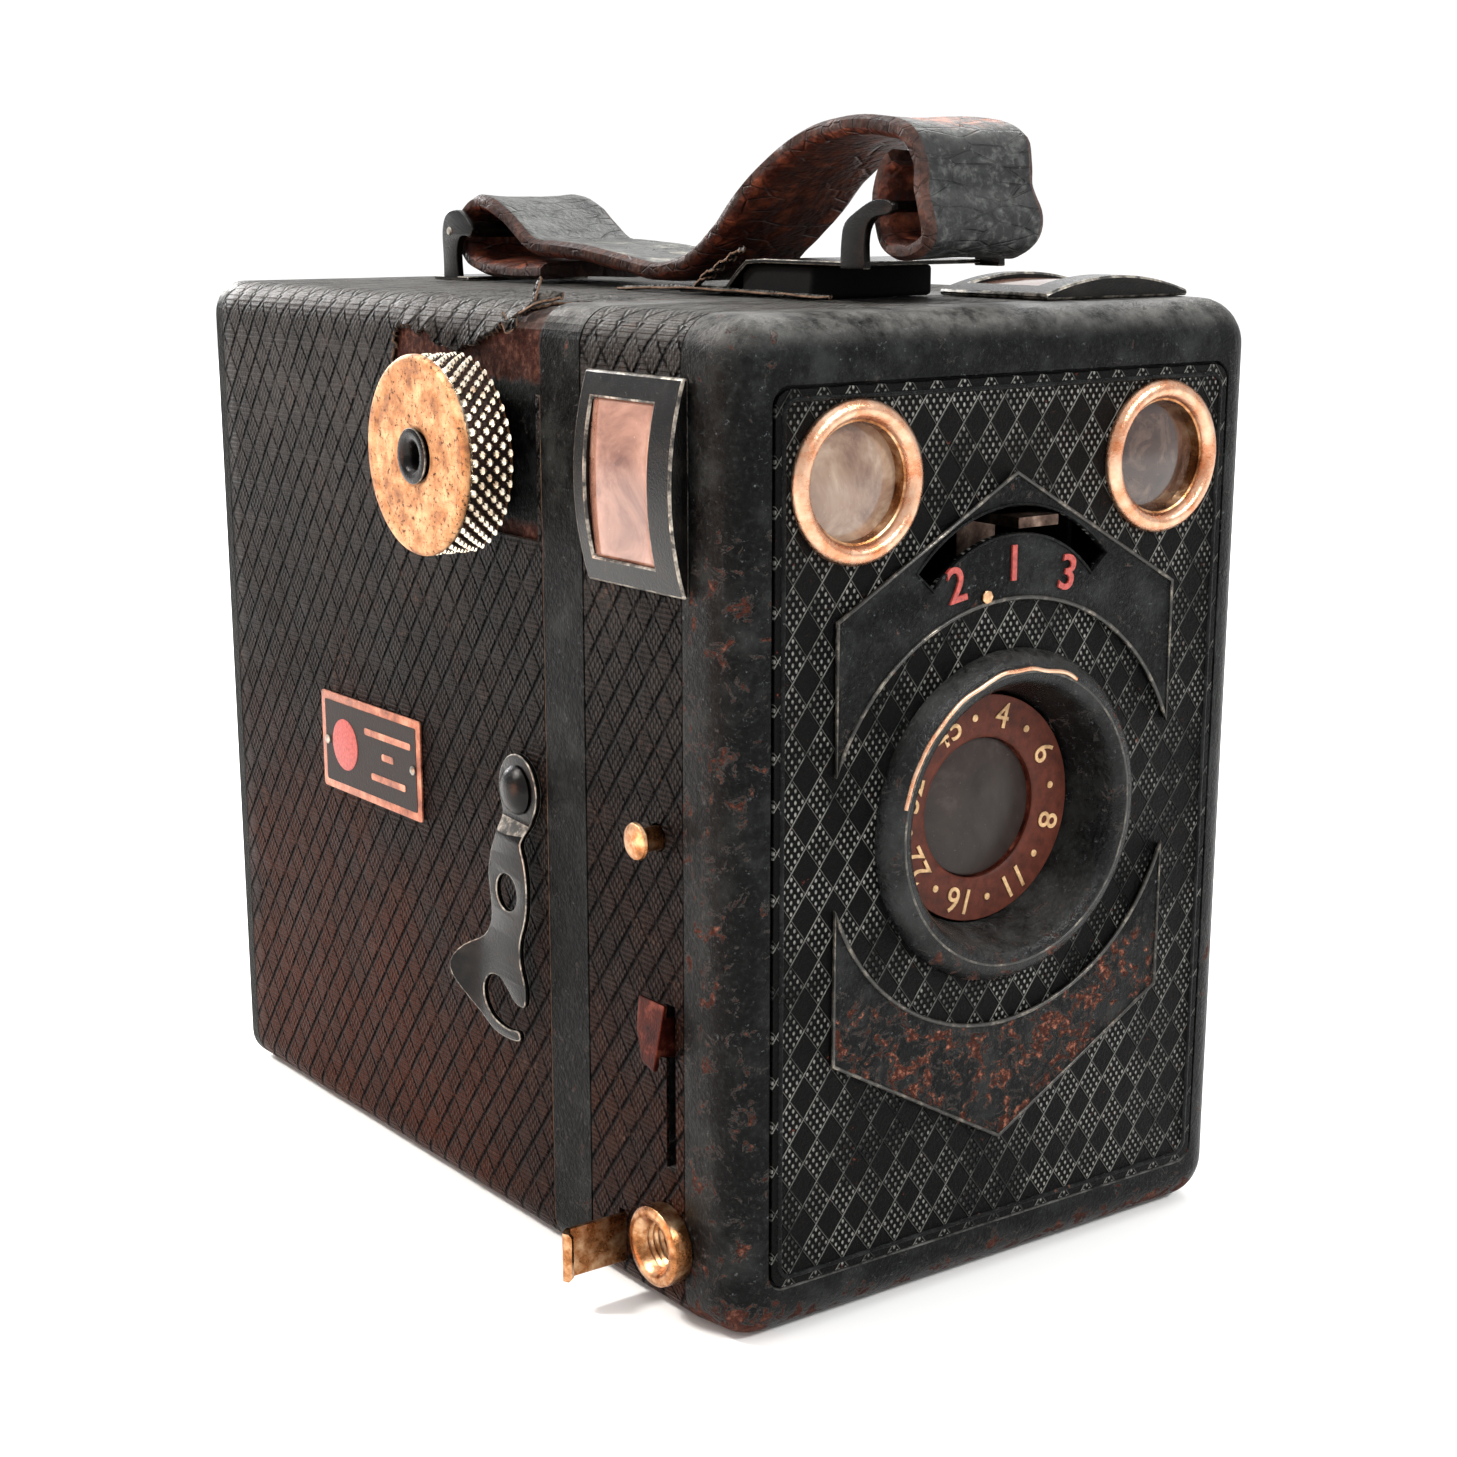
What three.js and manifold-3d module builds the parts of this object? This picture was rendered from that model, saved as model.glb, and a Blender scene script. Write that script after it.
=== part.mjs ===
// A box camera for roll film, with the parts it comes apart into on a bench.
// Millimetres, +Z up. The lens looks along -Y, the winding knob is on the -X side,
// and the origin is the centre of the underside of the body.

import * as THREE from "three";
import { mergeVertices } from "three/addons/utils/BufferGeometryUtils.js";
import Module from "manifold-3d";

const wasm = await Module();
wasm.setup();

// ---- driving dimensions ----

const BODY = { halfWidth: 39, height: 114.6, front: -61.2, back: 61.2, corner: 4.5 };
const JOINT = -32.6; // where the front section meets the rear case
const SKIN = 0.3; // leatherette
const WALL = 1.3; // pressed steel
const GAP = 0.1; // glue line and running gap
const BAND = { front: JOINT + 0.1, back: -24.2 }; // smooth band round the case's mouth
const FRONT_EDGE = { radius: 5, margin: -52 }; // rounded front edge, and where its leatherette starts
const PANEL = { halfWidth: 33.6, bottom: 6.6, top: 107.1, face: -61.3, back: -60.7, pad: 0.5 };
const LENS = { z: 57, barrel: 19.6, mouth: 15.9, ring: 13.5 };
const FINDER = { x: 22.8, z: 96.9, radius: 8.9 };
const WINDOW = { front: -53.6, back: -35, halfLength: 11.6, rise: 1.8, edge: 0.8 };
const KNOB = { y: -10.8, z: 97, radius: 11.75, inner: 41.2, face: 48 };
const SPOOL = { y: KNOB.y, top: KNOB.z, bottom: 2 * LENS.z - KNOB.z, flange: 12.6, core: 5.7, half: 32.5 };
const LATCH = { y: -18.8, z: 57.4, reach: 28.2, restTilt: 4, low: 39.1, high: 40.4, thick: 0.8 };
const PEG = { y: LATCH.y - LATCH.reach, z: LATCH.z, radius: 1.4, head: 2.2 };
const APERTURE = { z: 73.8, slotInner: 16, slotOuter: 19, slotTurn: 48.5, hole: 16.8, step: 32 };
const LEVER = { x: -8, z: 28.5, front: -49.9, back: -48.9, tilt: 11.4, reach: 33 };
const BLADE = { x: -12, z: 40 };
const BUSH = { y: -48.8, z: 9.5, radius: 4.8, bore: 3.1 };
const TAB = { front: -39.4, back: -38.8, bottom: 4, top: 10 };
const STRAP = { halfWidth: 8.75, thickness: 2 };
const GATE = { front: 52, back: 53.2, halfWidth: 32.2, halfHeight: 44.6, openX: 28, openZ: 41 };
const ROLLER = { y: 55, offset: 46.8, radius: 2.4 };
const RED_WINDOW = { x: 16, z: 36, hole: 5.9 };
const RECESS = { front: -23, back: 1.2, bottom: 87.6, top: 106.5 }; // round the winding knob
const HEXAGON = {
  halfWidth: 25.4,
  upper: { side: 1, tip: 96.5, shoulder: 82.1, arcCentre: 55, arcRadius: 27.4 },
  lower: { side: -1, tip: 17.6, shoulder: 31.8, arcCentre: 59, arcRadius: 27 },
};
const PANE = { end: 2.9, side: 3.5, rise: 1.2, low: 0.7 }; // a viewing window's glass inside its frame
const FINDER_BOX = { front: -55.4, back: -35.4, bottom: 84.6, sheet: 0.6, near: 14.2 };
const THROUGH_FACE = [-70, -55]; // from in front of the face to behind it
const THROUGH_SIDE = [-45, -30]; // from outside the winder side to inside it
const TUNNEL = { front: -50.4, back: 51.7, nearX: 10.5, nearZ: 12, farX: 29.3, farZ: 42.2, wall: 0.9 };

// ---- solids from three.js geometry ----

function welded(geometry) {
  const bare = geometry.clone();
  bare.deleteAttribute("normal");
  bare.deleteAttribute("uv");
  const merged = mergeVertices(bare, 1e-4);
  const position = merged.attributes.position;
  const corner = [new THREE.Vector3(), new THREE.Vector3(), new THREE.Vector3()];
  const kept = [];
  let volume = 0;
  for (let i = 0; i < merged.index.count; i += 3) {
    const face = [0, 1, 2].map((k) => merged.index.getX(i + k));
    if (new Set(face).size < 3) {
      continue;
    }
    face.forEach((vertex, k) => corner[k].fromBufferAttribute(position, vertex));
    volume += corner[0].dot(corner[1].clone().cross(corner[2]));
    kept.push(face);
  }
  const outward = volume > 0 ? kept : kept.map(([a, b, c]) => [a, c, b]);
  merged.setIndex(outward.flat());
  return merged;
}

function solid(geometry) {
  const closed = welded(geometry);
  const mesh = new wasm.Mesh({
    numProp: 3,
    vertProperties: new Float32Array(closed.attributes.position.array),
    triVerts: new Uint32Array(closed.index.array),
  });
  return new wasm.Manifold(mesh);
}

function geometryOf(shape) {
  const mesh = shape.getMesh();
  const geometry = new THREE.BufferGeometry();
  geometry.setAttribute("position", new THREE.BufferAttribute(mesh.vertProperties, 3));
  geometry.setIndex(new THREE.BufferAttribute(mesh.triVerts, 1));
  geometry.computeVertexNormals();
  return geometry;
}

function join(first, ...rest) {
  return rest.reduce((sum, next) => sum.add(next), first);
}

function cut(body, ...tools) {
  return tools.reduce((left, tool) => left.subtract(tool), body);
}

function mirrored(shape) {
  return solid(geometryOf(shape).applyMatrix4(new THREE.Matrix4().makeScale(-1, 1, 1)));
}

function block(low, high) {
  const size = high.map((value, i) => value - low[i]);
  const centre = high.map((value, i) => (value + low[i]) / 2);
  return solid(new THREE.BoxGeometry(...size).translate(...centre));
}

const X = new THREE.Vector3(1, 0, 0);
const Y = new THREE.Vector3(0, 1, 0);
const Z = new THREE.Vector3(0, 0, 1);
const SHEET_BASIS = { x: [Y, Z, X], y: [X, Z, Y.clone().negate()], z: [X, Y, Z] };
const TURNED_BASIS = { x: [Z, X, Y], y: [X, Y, Z], z: [X, Z, Y.clone().negate()] };

function pointsOf(outline) {
  return outline.map(([a, b]) => new THREE.Vector2(a, b));
}

// An outline in the plane across an axis, given thickness from one place on the axis to another.
function sheet(axis, outline, from, to, segments = 6) {
  const shape = outline instanceof THREE.Shape ? outline : new THREE.Shape(pointsOf(outline));
  const options = { depth: to - from, bevelEnabled: false, curveSegments: segments };
  const geometry = new THREE.ExtrudeGeometry(shape, options);
  geometry.applyMatrix4(new THREE.Matrix4().makeBasis(...SHEET_BASIS[axis]));
  const start = axis === "y" ? to : from;
  const shift = { x: [start, 0, 0], y: [0, start, 0], z: [0, 0, start] }[axis];
  return solid(geometry.translate(...shift));
}

// A profile of [radius, place along the axis] points, turned about an axis through a centre.
function turned(axis, centre, profile, sides = 20) {
  const onAxis = profile[0][0] === 0 && profile.at(-1)[0] === 0;
  const loop = onAxis ? profile : [...profile, profile[0]];
  const geometry = new THREE.LatheGeometry(pointsOf(loop), sides);
  geometry.applyMatrix4(new THREE.Matrix4().makeBasis(...TURNED_BASIS[axis]));
  return solid(geometry.translate(...centre));
}

function rod(axis, centre, radius, from, to, sides = 20) {
  return turned(axis, centre, [[0, from], [radius, from], [radius, to], [0, to]], sides);
}

function roundedRectangle(halfWidth, bottom, top, radius) {
  const shape = new THREE.Shape();
  const x = halfWidth - radius;
  shape.moveTo(-x, bottom);
  shape.absarc(x, bottom + radius, radius, -Math.PI / 2, 0);
  shape.absarc(x, top - radius, radius, 0, Math.PI / 2);
  shape.absarc(-x, top - radius, radius, Math.PI / 2, Math.PI);
  shape.absarc(-x, bottom + radius, radius, Math.PI, 1.5 * Math.PI);
  return shape;
}

// The body's cross-section, shrunk all round by an inset.
function section(inset) {
  const radius = BODY.corner - Math.min(inset, BODY.corner - 1.5);
  return roundedRectangle(BODY.halfWidth - inset, inset, BODY.height - inset, radius);
}

function bodySlice(inset, from, to) {
  return sheet("y", section(inset), from, to, 4);
}

function ringSector(centreX, centreZ, inner, outer, halfAngle) {
  const angle = THREE.MathUtils.degToRad(halfAngle);
  const shape = new THREE.Shape();
  shape.absarc(centreX, centreZ, outer, Math.PI / 2 - angle, Math.PI / 2 + angle);
  shape.absarc(centreX, centreZ, inner, Math.PI / 2 + angle, Math.PI / 2 - angle, true);
  return shape;
}

// ---- the object ----

const camera = new THREE.Group();

function add(name, shape, color, roughness, metalness) {
  const material = new THREE.MeshStandardMaterial({ color, roughness, metalness });
  const mesh = new THREE.Mesh(geometryOf(shape), material);
  mesh.name = name;
  camera.add(mesh);
}

const PAINT = { black: "#17140f", leather: "#1b1816", panel: "#1c1a19" };
const INSET = { steel: SKIN + GAP, inside: SKIN + GAP + WALL };

function finderHole(side, radius) {
  return rod("y", [side * FINDER.x, 0, FINDER.z], radius, ...THROUGH_FACE);
}

function apertureSlot() {
  const { z, slotInner, slotOuter, slotTurn } = APERTURE;
  return sheet("y", ringSector(0, z, slotInner, slotOuter, slotTurn), ...THROUGH_FACE, 8);
}

function lensHole() {
  return rod("y", [0, 0, LENS.z], LENS.mouth + 0.5, ...THROUGH_FACE, 32);
}

function rearCase() {
  const steel = join(
    bodySlice(INSET.steel, BAND.front, BODY.back - 0.4),
    bodySlice(0, BAND.front, BAND.back),
    bodySlice(0, BODY.back - 2.4, BODY.back - 0.4),
  );
  const wallHole = rod("x", [0, KNOB.y, KNOB.z], 5.7, ...THROUGH_SIDE);
  const rivetHole = rod("x", [0, LATCH.y, LATCH.z], 1.9, -60, 60, 12);
  const redCentre = [RED_WINDOW.x, 0, RED_WINDOW.z];
  const redHole = rod("y", redCentre, RED_WINDOW.hole, 55, 65);
  const shell = cut(
    steel,
    bodySlice(INSET.inside, -40, BODY.back - 1.7),
    wallHole,
    rivetHole,
    redHole,
  );
  add("rear_case_shell", shell, PAINT.black, 0.5, 0.4);

  const recess = block([-45, RECESS.front, RECESS.bottom], [-30, RECESS.back, RECESS.top]);
  const wrap = cut(
    bodySlice(0, BAND.back + GAP, BODY.back - 2.5),
    bodySlice(SKIN, -40, 70),
    recess,
    rivetHole,
  );
  add("leatherette_wrap", wrap, PAINT.leather, 0.6, 0);

  const backPanel = sheet("y", roundedRectangle(35.5, 3.5, 111, 3), BODY.back - 0.3, BODY.back);
  add("leatherette_back", cut(backPanel, redHole), PAINT.leather, 0.6, 0);

  const eyelet = [[5.6, 59.7], [5.6, 61.3], [7, 61.3], [6.8, 61.7], [4.6, 61.7], [4.6, 59.7]];
  add("red_window_eyelet", turned("y", redCentre, eyelet), "#8a8478", 0.4, 0.9);
  add("red_window", rod("y", redCentre, 6.5, 58.8, 59.3), "#7a1010", 0.2, 0);

  const plate = block([-39.35, 5.6, 48.1], [-39.1, 32.6, 61.4]);
  const pins = [7.4, 30.8].map((y) => rod("x", [0, y, 54.8], 0.6, -39.8, -39.2, 10));
  add("nameplate", join(plate, ...pins), "#a07a6a", 0.4, 0.6);
}

function strapLine() {
  const route = [
    [24, 116.4], [31, 116.3], [38, 116.5], [42.8, 117.6], [45, 120], [44.6, 122.8], [42, 124.8],
    [38.5, 124.9], [34.5, 123.6], [30.5, 121.3], [26.5, 119.4], [20, 119.1], [12.6, 118.6],
    [4.5, 117.6], [-2.7, 116.9], [-9, 118.1], [-13, 120.2], [-17.2, 123], [-22.5, 127.3],
    [-27.5, 130.4], [-33, 132.6], [-40.3, 133.9], [-47, 133.7], [-51.3, 132.6], [-52.9, 130],
    [-53.2, 127], [-54.6, 124], [-54.3, 121.8], [-51.6, 120.6], [-48.6, 121], [-46.9, 123.2],
    [-46.6, 126.5], [-47.4, 129], [-49, 130.4],
  ];
  return pointsOf(route);
}

function strapOutline() {
  const line = strapLine();
  const side = (sign) => line.map((point, i) => {
    const before = line[Math.max(i - 1, 0)];
    const after = line[Math.min(i + 1, line.length - 1)];
    const along = after.clone().sub(before).normalize();
    const across = new THREE.Vector2(-along.y, along.x).multiplyScalar((sign * STRAP.thickness) / 2);
    return point.clone().add(across);
  });
  return new THREE.Shape([...side(1), ...side(-1).reverse()]);
}

function strapAndBrackets() {
  const strap = sheet("x", strapOutline(), -STRAP.halfWidth, STRAP.halfWidth);
  add("strap", strap, "#3a2a22", 0.7, 0);

  const rearPost = [
    [43.4, 114.8], [47.2, 114.8], [47.2, 121.8], [45.6, 123.4], [39.4, 122.2], [39.4, 121],
    [43.4, 120.4],
  ];
  const frontPost = [
    [-43, 118.3], [-43, 123], [-48.2, 125.8], [-51.4, 125.8], [-51.4, 124.4], [-47.2, 122],
    [-47.2, 118.3],
  ];
  const posts = (outline) => [sheet("x", outline, -10.1, -9.1), sheet("x", outline, 9.1, 10.1)];
  const rear = join(
    block([-10.1, 40.4, 114.6], [10.1, 50, 115.2]),
    ...posts(rearPost),
    block([-9.6, 39.4, 121], [9.6, 42.4, 122.2]),
  );
  add("strap_loop_rear", rear, "#2a211c", 0.5, 0.7);

  const tray = cut(
    block([-9.6, -43.5, 115], [9.6, -21, 119.2]),
    block([-8.6, -45, 114], [8.6, -22, 118.2]),
  );
  const front = join(
    tray,
    block([-9.6, -21.5, 114.6], [9.6, -11, 115.4]),
    ...posts(frontPost),
    block([-9.6, -51.4, 124.6], [9.6, -48.2, 125.8]),
  );
  add("strap_bracket_front", front, "#1d1a18", 0.5, 0.7);
}

function winder() {
  const centre = [0, KNOB.y, KNOB.z];
  const bush = [[4.3, -39.4], [7.5, -39.4], [7.5, -38.7], [5.4, -38.7], [5.4, -37.4], [4.3, -37.4]];
  add("winder_bush", turned("x", centre, bush), "#2b241e", 0.5, 0.8);
  const hub = [[3, -40.4], [4.1, -40.4], [4.1, -37.2], [6.2, -37.2], [6.2, -36.3], [3, -36.3]];
  add("winder_hub", turned("x", centre, hub), "#8a6a3c", 0.4, 0.9);
  const knob = [
    [3, -KNOB.inner], [KNOB.radius - 0.5, -KNOB.inner], [KNOB.radius, -KNOB.inner - 0.5],
    [KNOB.radius, -KNOB.face + 0.7], [KNOB.radius - 0.7, -KNOB.face], [3, -KNOB.face],
  ];
  add("winding_knob", turned("x", centre, knob, 30), "#c9a877", 0.4, 0.85);
  const shaft = rod("x", centre, 2.7, -46.6, -35.9);
  const blade = block([-36.5, KNOB.y - 0.7, KNOB.z - 2.5], [-32.8, KNOB.y + 0.7, KNOB.z + 2.5]);
  add("winding_shaft", join(shaft, blade), "#6b5a48", 0.4, 0.9);
  const rivet = [[1.5, -46.9], [2.7, -46.9], [2.7, -48.1], [3.4, -48.1], [3.4, -48.6], [1.5, -48.6]];
  add("knob_rivet", turned("x", centre, rivet), "#3a2a20", 0.4, 0.9);
}

// The latch hangs in its own frame: its rivet at the origin, y backwards and z up, arm straight down.
function latchSolid() {
  const out = LATCH.high;
  const head = sheet("x", [
    [-3.6, -3.2], [3.6, -3.2], [4.3, 0], [3, 3.1], [0, 4.4], [-3, 3.1], [-4.3, 0],
  ], -LATCH.low - LATCH.thick, -LATCH.low);
  const slope = new THREE.Shape(pointsOf([
    [-LATCH.low, -3], [-LATCH.low - LATCH.thick, -3], [-out - LATCH.thick, -5.6],
    [-out - LATCH.thick, -6.4], [-out, -6.4], [-LATCH.low, -3.8],
  ]));
  const step = sheet("y", slope, -3.2, 3.2);
  const arm = sheet("x", [
    [-3, -5.8], [-4.4, -10.5], [-4.2, -15], [-3.1, -19.5], [-4.6, -24], [-4.6, -26.2], [2, -26.2],
    [2, -30.2], [-3, -29.8], [-3.4, -31], [2.2, -31.2], [6, -29.6], [8, -26], [7.6, -22.6],
    [4, -19.5], [3.6, -15], [4.2, -11], [3, -5.8],
  ], -out - LATCH.thick, -out);
  const thumb = sheet("z", [
    [-out, 6.5], [-out - LATCH.thick, 6.5], [-out - 2.4, 8.8], [-out - 1.6, 9.2],
  ], -27.5, -22.6);
  const eye = rod("x", [0, 0, -LATCH.reach], 2.1, -60, -30, 16);
  const hole = rod("x", [0, 0, -12.8], 2.4, -60, -30, 16);
  const pivot = rod("x", [0, 0, 0], 1.9, -60, -30, 16);
  return cut(join(head, step, arm, thumb), eye, hole, pivot);
}

function latches() {
  const tilt = new THREE.Matrix4().makeRotationX(THREE.MathUtils.degToRad(LATCH.restTilt));
  const place = new THREE.Matrix4().makeTranslation(0, LATCH.y, LATCH.z).multiply(tilt);
  const latch = solid(geometryOf(latchSolid()).applyMatrix4(place));
  const centre = [0, LATCH.y, LATCH.z];
  const rivetProfile = [
    [0, -41.5], [1.6, -41.3], [2.7, -40.7], [3, -40.1], [1.6, -40.1], [1.6, -37.3], [2.6, -37.3],
    [2.6, -36.6], [0, -36.6],
  ];
  const rivet = turned("x", centre, rivetProfile, 16);
  const pegProfile = [
    [0, -42.4], [PEG.head, -42.2], [PEG.head, -41.5], [PEG.radius, -41.5], [PEG.radius, -37],
    [2.4, -37], [2.4, -36.4], [0, -36.4],
  ];
  const peg = turned("x", [0, PEG.y, PEG.z], pegProfile, 16);
  const sides = { left: (shape) => shape, right: mirrored };
  for (const [side, turn] of Object.entries(sides)) {
    add(`latch_${side}`, turn(latch), "#2c2522", 0.45, 0.8);
    add(`latch_rivet_${side}`, turn(rivet), "#2a2624", 0.4, 0.8);
    add(`latch_peg_${side}`, turn(peg), "#b0874c", 0.35, 0.9);
  }
}

function roundedFront(inset, face) {
  const depth = 40;
  const bevel = FRONT_EDGE.radius;
  const outline = section(inset + bevel);
  const geometry = new THREE.ExtrudeGeometry(outline, {
    depth,
    curveSegments: 3,
    bevelThickness: bevel,
    bevelSize: bevel,
    bevelSegments: 4,
  });
  geometry.applyMatrix4(new THREE.Matrix4().makeBasis(...SHEET_BASIS.y));
  geometry.translate(0, face + bevel + depth, 0);
  const reach = JOINT - 0.2;
  return solid(geometry).intersect(block([-60, face - 1, -20], [60, reach, 140]));
}

function shellHoles() {
  const holes = [-1, 1].map((side) => finderHole(side, 7.5));
  const [outside, inside] = THROUGH_SIDE;
  const lever = block([outside, -50.3, 18.7], [inside, -48.5, 38.4]);
  const tab = block(
    [outside, TAB.front - 0.3, TAB.bottom - 0.3],
    [inside, TAB.back + 0.3, TAB.top + 0.3],
  );
  const sideBush = rod("x", [0, BUSH.y, BUSH.z], 4.3, outside, inside);
  const bottomBush = rod("z", [0, -45, 0], 5.8, -5, 5);
  const pegs = rod("x", [0, PEG.y, PEG.z], PEG.radius + 0.3, -60, 60, 12);
  const sideWindow = block([outside, -51.4, 86.9], [inside, -37.2, 106.1]);
  const topWindow = block([13.2, -51.4, 105], [32.4, -37.2, 120]);
  return [...holes, lever, tab, sideBush, bottomBush, pegs, sideWindow, topWindow];
}

function panelOutline(clearance) {
  const halfWidth = PANEL.halfWidth + clearance;
  return roundedRectangle(halfWidth, PANEL.bottom - clearance, PANEL.top + clearance, 2);
}

function frontShell() {
  const outside = cut(
    roundedFront(0, BODY.front),
    cut(bodySlice(-5, FRONT_EDGE.margin, -20), bodySlice(INSET.steel, -60, -10)),
  );
  const shell = cut(
    outside,
    bodySlice(1.4, -59.6 + 4, -20),
    bodySlice(5, -59.6, -20),
    sheet("y", panelOutline(0.3), BODY.front - 1, PANEL.back + 0.1),
    lensHole(),
    apertureSlot(),
    ...shellHoles(),
  );
  add("front_shell", shell, PAINT.black, 0.5, 0.4);

  const strip = cut(
    bodySlice(0, FRONT_EDGE.margin + GAP, JOINT - 0.2),
    bodySlice(SKIN, -60, -10),
    ...shellHoles(),
  );
  add("leatherette_front", strip, PAINT.leather, 0.6, 0);
}

// Half of the hexagon round the lens: a pointed pad with a round bite out of its inner side.
function hexagonPad({ side, tip, shoulder, arcCentre, arcRadius }) {
  const half = HEXAGON.halfWidth;
  const start = arcCentre + side * Math.sqrt(arcRadius ** 2 - half ** 2);
  const outline = [[-half, start], [half, start], [half, shoulder], [0, tip], [-half, shoulder]];
  const pad = sheet("y", outline, PANEL.face - PANEL.pad, PANEL.back - 0.2);
  return cut(pad, rod("y", [0, 0, arcCentre], arcRadius, ...THROUGH_FACE, 48));
}

function frontPanel() {
  const plate = sheet("y", panelOutline(0), PANEL.face, PANEL.back);
  const upper = hexagonPad(HEXAGON.upper);
  const lower = hexagonPad(HEXAGON.lower);
  const panel = cut(
    join(plate, upper, lower),
    lensHole(),
    apertureSlot(),
    finderHole(-1, 7.5),
    finderHole(1, 7.5),
  );
  add("front_panel", panel, PAINT.panel, 0.55, 0.3);
}

function lensAssembly() {
  const centre = [0, 0, LENS.z];
  const barrel = [
    [LENS.barrel, -61.35], [19.3, -62.4], [18.2, -63.4], [17, -63.9], [15.9, -63.6], [15.3, -62.7],
    [14.7, -60.8], [13.8, -57.4], [13.8, -56.4], [14.8, -56.4], [15.6, -60.6], [15.9, -61.35],
  ];
  add("lens_barrel", turned("y", centre, barrel, 32), PAINT.black, 0.35, 0.4);
  const ring = [[LENS.ring, -57.2], [8.4, -57], [8.4, -56.3], [LENS.ring, -56.3]];
  add("lens_ring", turned("y", centre, ring, 28), "#4a2a20", 0.5, 0.3);
  const glass = [[0, -57.1], [4, -56.85], [7.6, -56.05], [9, -55.95], [9, -54.9], [0, -54.9]];
  add("lens", turned("y", centre, glass, 28), "#6b6a68", 0.05, 0);
  const cell = [[9.3, -56], [LENS.ring, -56], [LENS.ring, -53.9], [7.4, -53.9], [7.4, -54.6], [9.3, -54.6]];
  add("lens_cell", turned("y", centre, cell, 24), "#24211f", 0.5, 0.5);

  const posts = [];
  for (const x of [-31, 31]) {
    for (const z of [12, 78]) {
      posts.push(rod("y", [x, 0, z], 2, -59.4, -51, 10));
    }
  }
  const studs = [
    rod("y", [0, 0, APERTURE.z], 1.2, -53.9, -51, 10),
    rod("y", [BLADE.x, 0, BLADE.z], 1.2, -52.8, -51, 10),
    rod("y", [LEVER.x, 0, LEVER.z], 1.4, -51, -48.5, 10),
  ];
  const board = join(block([-34.6, -51.4, 4], [34.6, -50.7, 83.5]), ...posts, ...studs);
  add("lens_board", cut(board, rod("y", centre, 7.5, -55, -45)), "#2a2724", 0.5, 0.5);
}

function aperturePlate() {
  const fan = ringSector(0, -APERTURE.z, 0.5, 22.6, 48);
  const sector = sheet("y", fan, -53.4, -52.9, 10);
  const flipped = solid(geometryOf(sector).applyMatrix4(new THREE.Matrix4().makeScale(1, 1, -1)));
  const arm = block([-1.5, -53.4, APERTURE.z], [4.5, -52.9, 91.8]);
  const tab = block([-1.5, -63.8, 90.6], [4.5, -52.9, 91.8]);
  const boss = rod("y", [0, 0, APERTURE.z], 3.2, -53.4, -52.9);
  const stops = [[0, 4.4], [-APERTURE.step, 3], [APERTURE.step, 2]].map(([angle, radius]) => {
    const turn = THREE.MathUtils.degToRad(angle);
    const x = APERTURE.hole * Math.sin(turn);
    const z = APERTURE.z - APERTURE.hole * Math.cos(turn);
    return rod("y", [x, 0, z], radius, -55, -50, 16);
  });
  const pivot = rod("y", [0, 0, APERTURE.z], 1.5, -60, -50, 12);
  add("aperture_plate", cut(join(flipped, arm, tab, boss), pivot, ...stops), "#a59a8a", 0.4, 0.9);
}

function shutter() {
  const swing = new THREE.Matrix4().makeRotationY(THREE.MathUtils.degToRad(LEVER.tilt));
  const place = new THREE.Matrix4().makeTranslation(LEVER.x, 0, LEVER.z).multiply(swing);
  const arm = join(
    rod("y", [0, 0, 0], 3.4, LEVER.front, LEVER.back),
    block([-LEVER.reach - 0.6, LEVER.front, -2.3], [0, LEVER.back, 2.3]),
    sheet("x", [
      [LEVER.front, -4], [-47.4, -3.4], [-45.4, 0], [-44.9, 3.6], [LEVER.front, 3.6],
    ], -LEVER.reach - 0.6, -LEVER.reach),
  );
  const lever = cut(arm, rod("y", [0, 0, 0], 1.7, -60, -40, 12));
  const placed = solid(geometryOf(lever).applyMatrix4(place));
  add("shutter_lever", placed, "#8a4030", 0.4, 0.8);

  const reach = Math.hypot(BLADE.x, LENS.z - BLADE.z);
  const aim = new THREE.Matrix4().makeRotationY(-Math.atan2(LENS.z - BLADE.z, -BLADE.x));
  const seat = new THREE.Matrix4().makeTranslation(BLADE.x, 0, BLADE.z).multiply(aim);
  const flat = cut(
    join(
      rod("y", [0, 0, 0], 3, -52.4, -51.9),
      block([0, -52.4, -2.2], [reach, -51.9, 2.2]),
      rod("y", [reach, 0, 0], 8, -52.4, -51.9),
    ),
    rod("y", [0, 0, 0], 1.5, -60, -50, 12),
  );
  add("shutter_blade", solid(geometryOf(flat).applyMatrix4(seat)), "#1f1d1c", 0.5, 0.7);
}

function timeTab() {
  const tab = join(
    block([-46.8, TAB.front, TAB.bottom], [-30, TAB.back, TAB.top]),
    sheet("z", [
      [-46.6, -38.8], [-48, -39.6], [-48.2, -41.4], [-47.6, -41.5], [-47.3, -40], [-46.6, -39.4],
    ], TAB.bottom, TAB.top),
  );
  add("time_tab", tab, "#b98a55", 0.35, 0.9);
}

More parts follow.
